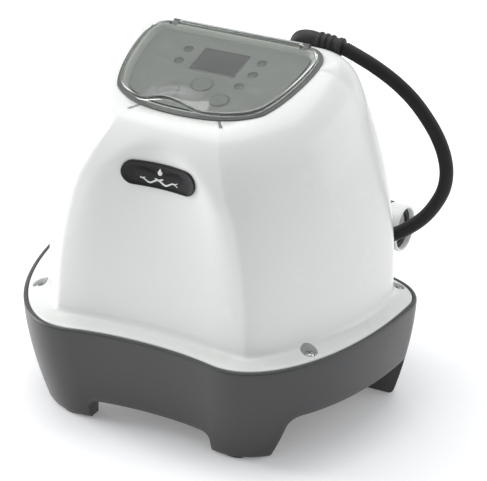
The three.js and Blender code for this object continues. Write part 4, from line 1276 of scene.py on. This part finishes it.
# Smoked cover; the wave is its finger lift
cover = {"low": 1.7, "plateLow": 2.9, "high": 4.9, "wall": 2.2, "outer": 1.6, "round": 0.9, "centreY": -12,
         "waveX": -8, "waveHalf": 31, "waveHeight": 7.6, "waveFront": -64.4, "waveDepth": 27, "paintedShadeTo": 26}


def waveLift(x, y):
    across = min(1, abs(x - cover["waveX"]) / cover["waveHalf"])
    bell = (0.5 + 0.5 * math.cos(math.pi * across)) ** 1.15
    back = min(1, max(0, (y - cover["waveFront"]) / cover["waveDepth"]))
    return cover["waveHeight"] * bell * (1 - back * back * (3 - 2 * back))


def coverRing(inset, z, shrink=1.0, squeeze=1.0):
    backEdge = hinge["back"] - hinge["barrel"] - 1
    centreY = cover["centreY"]
    ring = []
    for x, y in panelOutline(inset, backEdge + inset):
        x, y = x * shrink, centreY + (y - centreY) * shrink
        ring.append(panelPlace((x, y, z + waveLift(x, y) * squeeze)))
    return ring


def makeCover():
    low, under, high, outer, wall, bend = (cover[key] for key in ("low", "plateLow", "high", "outer", "wall", "round"))
    shrinks = [1 - i * 0.022 for i in range(1, 23)] + [0.46, 0.38, 0.3, 0.22, 0.14, 0.06]
    rings = [coverRing(outer + wall, under - 0.1, s, 0.97) for s in reversed(shrinks)]
    rings += [coverRing(outer + wall, under - 0.1, 1, 0.97), coverRing(outer + wall - 0.15, under - 0.45)]
    rings += [coverRing(outer + wall - 0.3, low + 0.2), coverRing(outer + wall - 0.5, low), coverRing(outer + 0.25, low)]
    rings += [coverRing(outer, low + 0.25), coverRing(outer, high - bend)]
    for step in range(1, 5):
        angle = math.radians(22.5 * step)
        rings.append(coverRing(outer + bend * (1 - math.cos(angle)), high - bend + bend * math.sin(angle)))
    rings += [coverRing(outer + bend, high, s) for s in shrinks]
    lid = meshPiece("panelCover", rings)
    back, height, barrel, half = hinge["back"], hinge["height"], hinge["barrel"], hinge["halfLength"]
    roll = rod("barrel", barrel, -half, half, 40, alongX(back, height), 0.4, 4)
    web = boxAt("web", (half * 2 - 4, 4.6, 1.7), (0, back - 2.3, high - 0.87), panelPlace, 0.3)
    carve(lid, [roll, web], "UNION")
    pinRoom = rod("pinRoom", hinge["pinRoom"], -70, 70, 24, alongX(back, height))
    carve(lid, [pinRoom, *[boxAt("earRoom", (6.2, 13, 20), (side * hinge["earX"], back, height), panelPlace)
                           for side in (-1, 1)]])
    smooth(lid, 40)
    return lid


panelUp = Vector((0, -math.sin(panel["tilt"]), math.cos(panel["tilt"])))
lid = dress(makeCover(), "smoke_cover", "cover", "smoke_cover", "panel_cover")
# Painted shade: the cover's side walls towards the front take the darker smoke finish for the dark look of its thick
# edge
secondPaint(lid, "smoke_edge_painted_shade", lambda at, normal: fromPanel(at)[1] < cover["paintedShadeTo"] and abs(normal.dot(panelUp)) < 0.5)
print("cover is hung")


# Flow cell behind the tower
cell = {"y": 120, "z": 111, "radius": 18, "half": 100.6, "spigot": 14, "bore": 12, "chamber": 14.5, "port": 115,
        "switchX": 20, "paleFrom": 85, "paleRadius": 14.6, "saddles": {"left": -72, "right": 62}}


def alongCell(p):
    return (p[2], p[0] + cell["y"], p[1] + cell["z"])


def mirrored(setPlace):
    return lambda p: (-setPlace(p)[0], *setPlace(p)[1:])


def makeCell():
    r, half = cell["radius"], cell["half"]
    right = [(r, 30), (r, 46), (r + 0.7, 46.8), (r + 0.7, 50.4), (r, 51.2), (r, 87), (r + 1.3, 89.4), (r + 1.3, half - 0.5),
             (r + 0.8, half), (cell["spigot"], half), (cell["spigot"], half + 7.2), (cell["spigot"] - 0.5, half + 7.6)]
    left = [(a, -b) for a, b in reversed(right)]
    profile = softened([(0, -half - 7.6), *left, *right, (0, half + 7.6)], 0.6, 3)
    tube = turned("flowCellBody", profile, 72, alongCell, sharpAngle=30)
    x, y = head["x"], cell["y"]
    neck = [(0, 104), (22, 104), (22, 126.2), (23.2, 127.2), (23.2, 128.6), (22, 129.4), (22, 135), (0, 135)]
    collar = turned("collar", softened(neck, 0.5, 3), 72, upright(x, y))
    stub = rod("stub", 11.6, 118, 129.1, 48, upright(cell["switchX"], y), 0.4, 3)
    ribs = [boxAt("rib", (1.6, 3.2, 30), (x + side * 28, y, 118), upright(0, 0), 0.5) for side in (-1, 1)]
    carve(tube, [collar, stub, *ribs], "UNION")
    tools = [rod("through", cell["bore"], -150, 150, 48, alongCell),
             rod("chamber", cell["chamber"], -86, 86, 48, alongCell),
             rod("shaft", 17, 111, 151, 48, upright(x, y)),
             rod("switchHole", 7, 118, 138, 40, upright(cell["switchX"], y))]
    carve(tube, tools)
    return softEdges(tube, 0.35, 40, 2)


union = {"throat": 16.3, "groove": 16.75, "turns": 5}


def makeUnion(name, setPlace):
    low, port = cell["half"] + 0.3, cell["port"]
    inner = cell["spigot"] + 0.4
    throat, groove, turns = union["throat"], union["groove"], union["turns"]
    thread = []
    for turn in range(turns):
        z = lerp(port - 0.7, low + 8, (turn + 0.5) / turns)
        thread += [(throat, z + 0.4), (groove, z), (throat, z - 0.4)]
    section = [(inner, low), (17.9, low), (18.45, low + 0.7), (18.45, low + 2.4), (18.15, low + 2.8), (18.15, port - 3.0),
               (18.5, port - 2.6), (18.5, port - 0.9), (17.9, port), (16.7, port), (throat, port - 0.7), *thread,
               (throat, low + 8), (inner, low + 8)]
    return turned(name, softened(section, 0.3, 2, closed=True), 96, setPlace, ring=True, sharpAngle=30)


def makeHead():
    profile = [(0, 124), (16.5, 124), (16.5, 128), (14.6, 128), (14.6, 131.4), (16.5, 131.4), (16.5, 135.3), (21, 135.3),
               (21, 139.4), (16.9, 139.4), (16.9, 150.5), (16.4, 151), (16.4, 152.2), (16.9, 152.7), (16.9, 167.4),
               (15.6, 171), (12.5, 173.4), (7.5, 174.3), (0, 174.5)]
    dome = turned("electrodeHead", softened(profile, 0.7, 4), 72, upright(head["x"], head["y"]), sharpAngle=30)
    spout = softened([(0, 4), (8, 4), (8, 20.5), (8.4, 21), (8.4, 22), (0, 22)], 0.5, 3)
    outlet = turned("outlet", spout, 48, outletPlace)
    carve(dome, [outlet], "UNION")
    return softEdges(dome, 0.5, 44, 3)


lockRing = {"middle": 138, "ribs": 30, "ribsAt": 25.8, "ribRadius": 0.75, "ribLength": 6.8}


# The grips are set on the ring at the origin, and then it goes to its place
def makeLockRing():
    middle = lockRing["middle"]
    section = [(22.3, 129.6), (25.2, 129.6), (25.9, 130.3), (25.9, 145.4), (24.8, 147), (17.6, 147), (17.6, 139.7),
               (22.3, 139.7)]
    ring = turned("lockRing", softened(section, 0.7, 4, closed=True), 96, upright(0, middleY, -middle), ring=True)
    runTree(ring, gripTree, {
        "Count": lockRing["ribs"], "Ring Radius": lockRing["ribsAt"] * mm, "Rib Radius": lockRing["ribRadius"] * mm,
        "Rib Length": lockRing["ribLength"] * mm, "Finish": paints["port_white"],
    })
    ring.data.transform(Matrix.Translation(inMetres((head["x"], head["y"], middle))))
    return ring


def makeFlowSwitch():
    x, y = cell["switchX"], cell["y"]
    cap = [(0, 124.6), (6.6, 124.6), (6.6, 129.4), (13, 129.4), (13, 132.6), (11, 132.6), (11, 140.4), (10, 141.5),
           (0, 141.5)]
    body = turned("flowSwitch", softened(cap, 0.5, 3), 64, upright(x, y), sharpAngle=30)
    ears = [boxAt("ear", (5, 1.6, 9), (x, y + side, 122.4), upright(0, 0), 0.4) for side in (-5, 5)]
    carve(body, ears, "UNION")
    hole = rod("pinHole", 1.2, -10, 10, 24, lambda p: (p[0] + x, p[2] + y, p[1] + 121))
    carve(body, [hole])
    return softEdges(body, 0.3, 40, 2)


# Gland of the supply lead: hexagon, domed cap, and the mouth for the lead
def makeMainsGland():
    x, z = base["glandAt"]
    setPlace = lambda p: (p[0] + x, p[2] + base["glandFrom"], p[1] + z)
    cap = [(3.8, 6), (6.6, 6), (6.6, 9.5), (7.6, 13.8), (7.9, 14.2), (7.9, 17.5), (7.2, 20.5), (5.9, 23.4), (5.3, 24),
           (3.8, 24)]
    body = turned("mainsGland", softened(cap, 0.5, 3, closed=True), 48, setPlace, ring=True)
    stem = turned("stem", [(3.8, 0.2), (6.6, 0.2), (6.6, 9.4), (3.8, 9.4)], 48, setPlace, ring=True)
    hexagon = turned("hexagon", [(3.9, 9.5), (9.5, 9.5), (9.5, 14), (3.9, 14)], 6, setPlace, ring=True, sharpAngle=20)
    return joined(body, [stem, softEdges(hexagon, 0.4, 30, 2)])


def makeSaddle(name, x):
    radius = cell["radius"] + 0.3
    angles = [lerp(-0.5, -2.64, i / 28) for i in range(29)]
    cradle = [(cell["y"] + radius * math.cos(angle), cell["z"] + radius * math.sin(angle)) for angle in angles]
    under = softened([(85, 92), (100, 89.4), (120, 88.4), (134, 91), (138.5, 97)], 5, 5)
    body = prism(name, [*under, *cradle, (100.5, 99), (85, 101)], x - 6.5, x + 6.5, lambda p: (p[2], p[0], p[1]))
    return softEdges(body, 0.7, 30, 3)


def makeSocket():
    profile = [(0, 240), (8, 240), (8, 251.5), (9.6, 251.5), (9.6, 253.6), (9.1, 254.0), (9.1, 254.6), (9.6, 255),
               (9.6, 256.3), (0, 256.3)]
    return turned("cableSocket", softened(profile, 0.35, 3), 64, upright(elbow["x"], elbow["y"]), sharpAngle=30)


tube = dress(makeCell(), "cell_black", "housing", "cell_black", "flow_cell_body")
secondPaint(tube, "port_white", lambda at, normal: abs(at.x) > cell["paleFrom"]
            and math.hypot(at.y - cell["y"], at.z - cell["z"]) < cell["paleRadius"])
dress(makeUnion("unionNut_right", alongCell), "port_white", "right_nut", "port_white", "union_nut_right")
dress(makeUnion("unionNut_left", mirrored(alongCell)), "port_white", "left_nut", "port_white", "union_nut_left")
dress(makeHead(), "cell_grey", "housing", "cell_grey", "electrode_head")
dress(makeLockRing(), "port_white", "cell_lock", "port_white", "lock_ring")
dress(makeFlowSwitch(), "cell_black", "housing", "cell_black", "flow_switch")
dress(makeMainsGland(), "cell_black", "housing", "cell_black", "mains_gland")
dress(makeSocket(), "cell_black", "housing", "cell_black", "cable_socket")
for side, x in cell["saddles"].items():
    dress(makeSaddle(f"cellSaddle_{side}", x), "grey_base", "housing", "grey_base", f"cell_saddle_{side}")
print("flow cell is coupled")


# The remaining pieces keep their shape: only their finish changes
for entry in frame["record"]["subparts"]:
    piece = nodes.get(entry["node"])
    slotName = entry["material_slot"]
    paint = paints["plug_rubber" if slotName == "cable_rubber" else slotName]
    if piece and not piece.hide_render:
        for holder in piece.material_slots:
            holder.material = paint

floorSheet = {"half": 4.0, "back": 2.6, "rise": 3.0, "bend": 1.2}


def makeFloor():
    bm = bmesh.new()
    half, back, rise, bend = (floorSheet[key] for key in ("half", "back", "rise", "bend"))
    line = [(-half, 0), (back - bend, 0)]
    line += [(back - bend + bend * math.sin(math.radians(angle)), bend - bend * math.cos(math.radians(angle)))
             for angle in range(9, 91, 9)]
    line.append((back, rise))
    rows = [[bm.verts.new((side * half, y, z)) for y, z in line] for side in (-1, 1)]
    for i in range(len(line) - 1):
        bm.faces.new((rows[0][i], rows[1][i], rows[1][i + 1], rows[0][i + 1]))
    mesh = bpy.data.meshes.new("floorSheet")
    bm.to_mesh(mesh)
    bm.free()
    sheet = bpy.data.objects.new("floorSheet", mesh)
    bpy.context.collection.objects.link(sheet)
    smooth(sheet, 60)
    material, tree, shader = startMaterial("palePaper")
    tone = placeGroup(tree, toneDrift, {
        "Tone": (0.94, 0.94, 0.95), "Second Tone": (0.92, 0.92, 0.93), "Scale": 1.5, "Speckle": 0.02,
    })
    tree.links.new(tone.outputs["Color"], shader.inputs["Base Color"])
    shader.inputs["Roughness"].default_value = 0.85
    shader.inputs["Emission Color"].default_value = (1, 1, 1, 1)
    shader.inputs["Emission Strength"].default_value = 0.16
    mesh.materials.append(material)


makeFloor()
print("scene is complete")
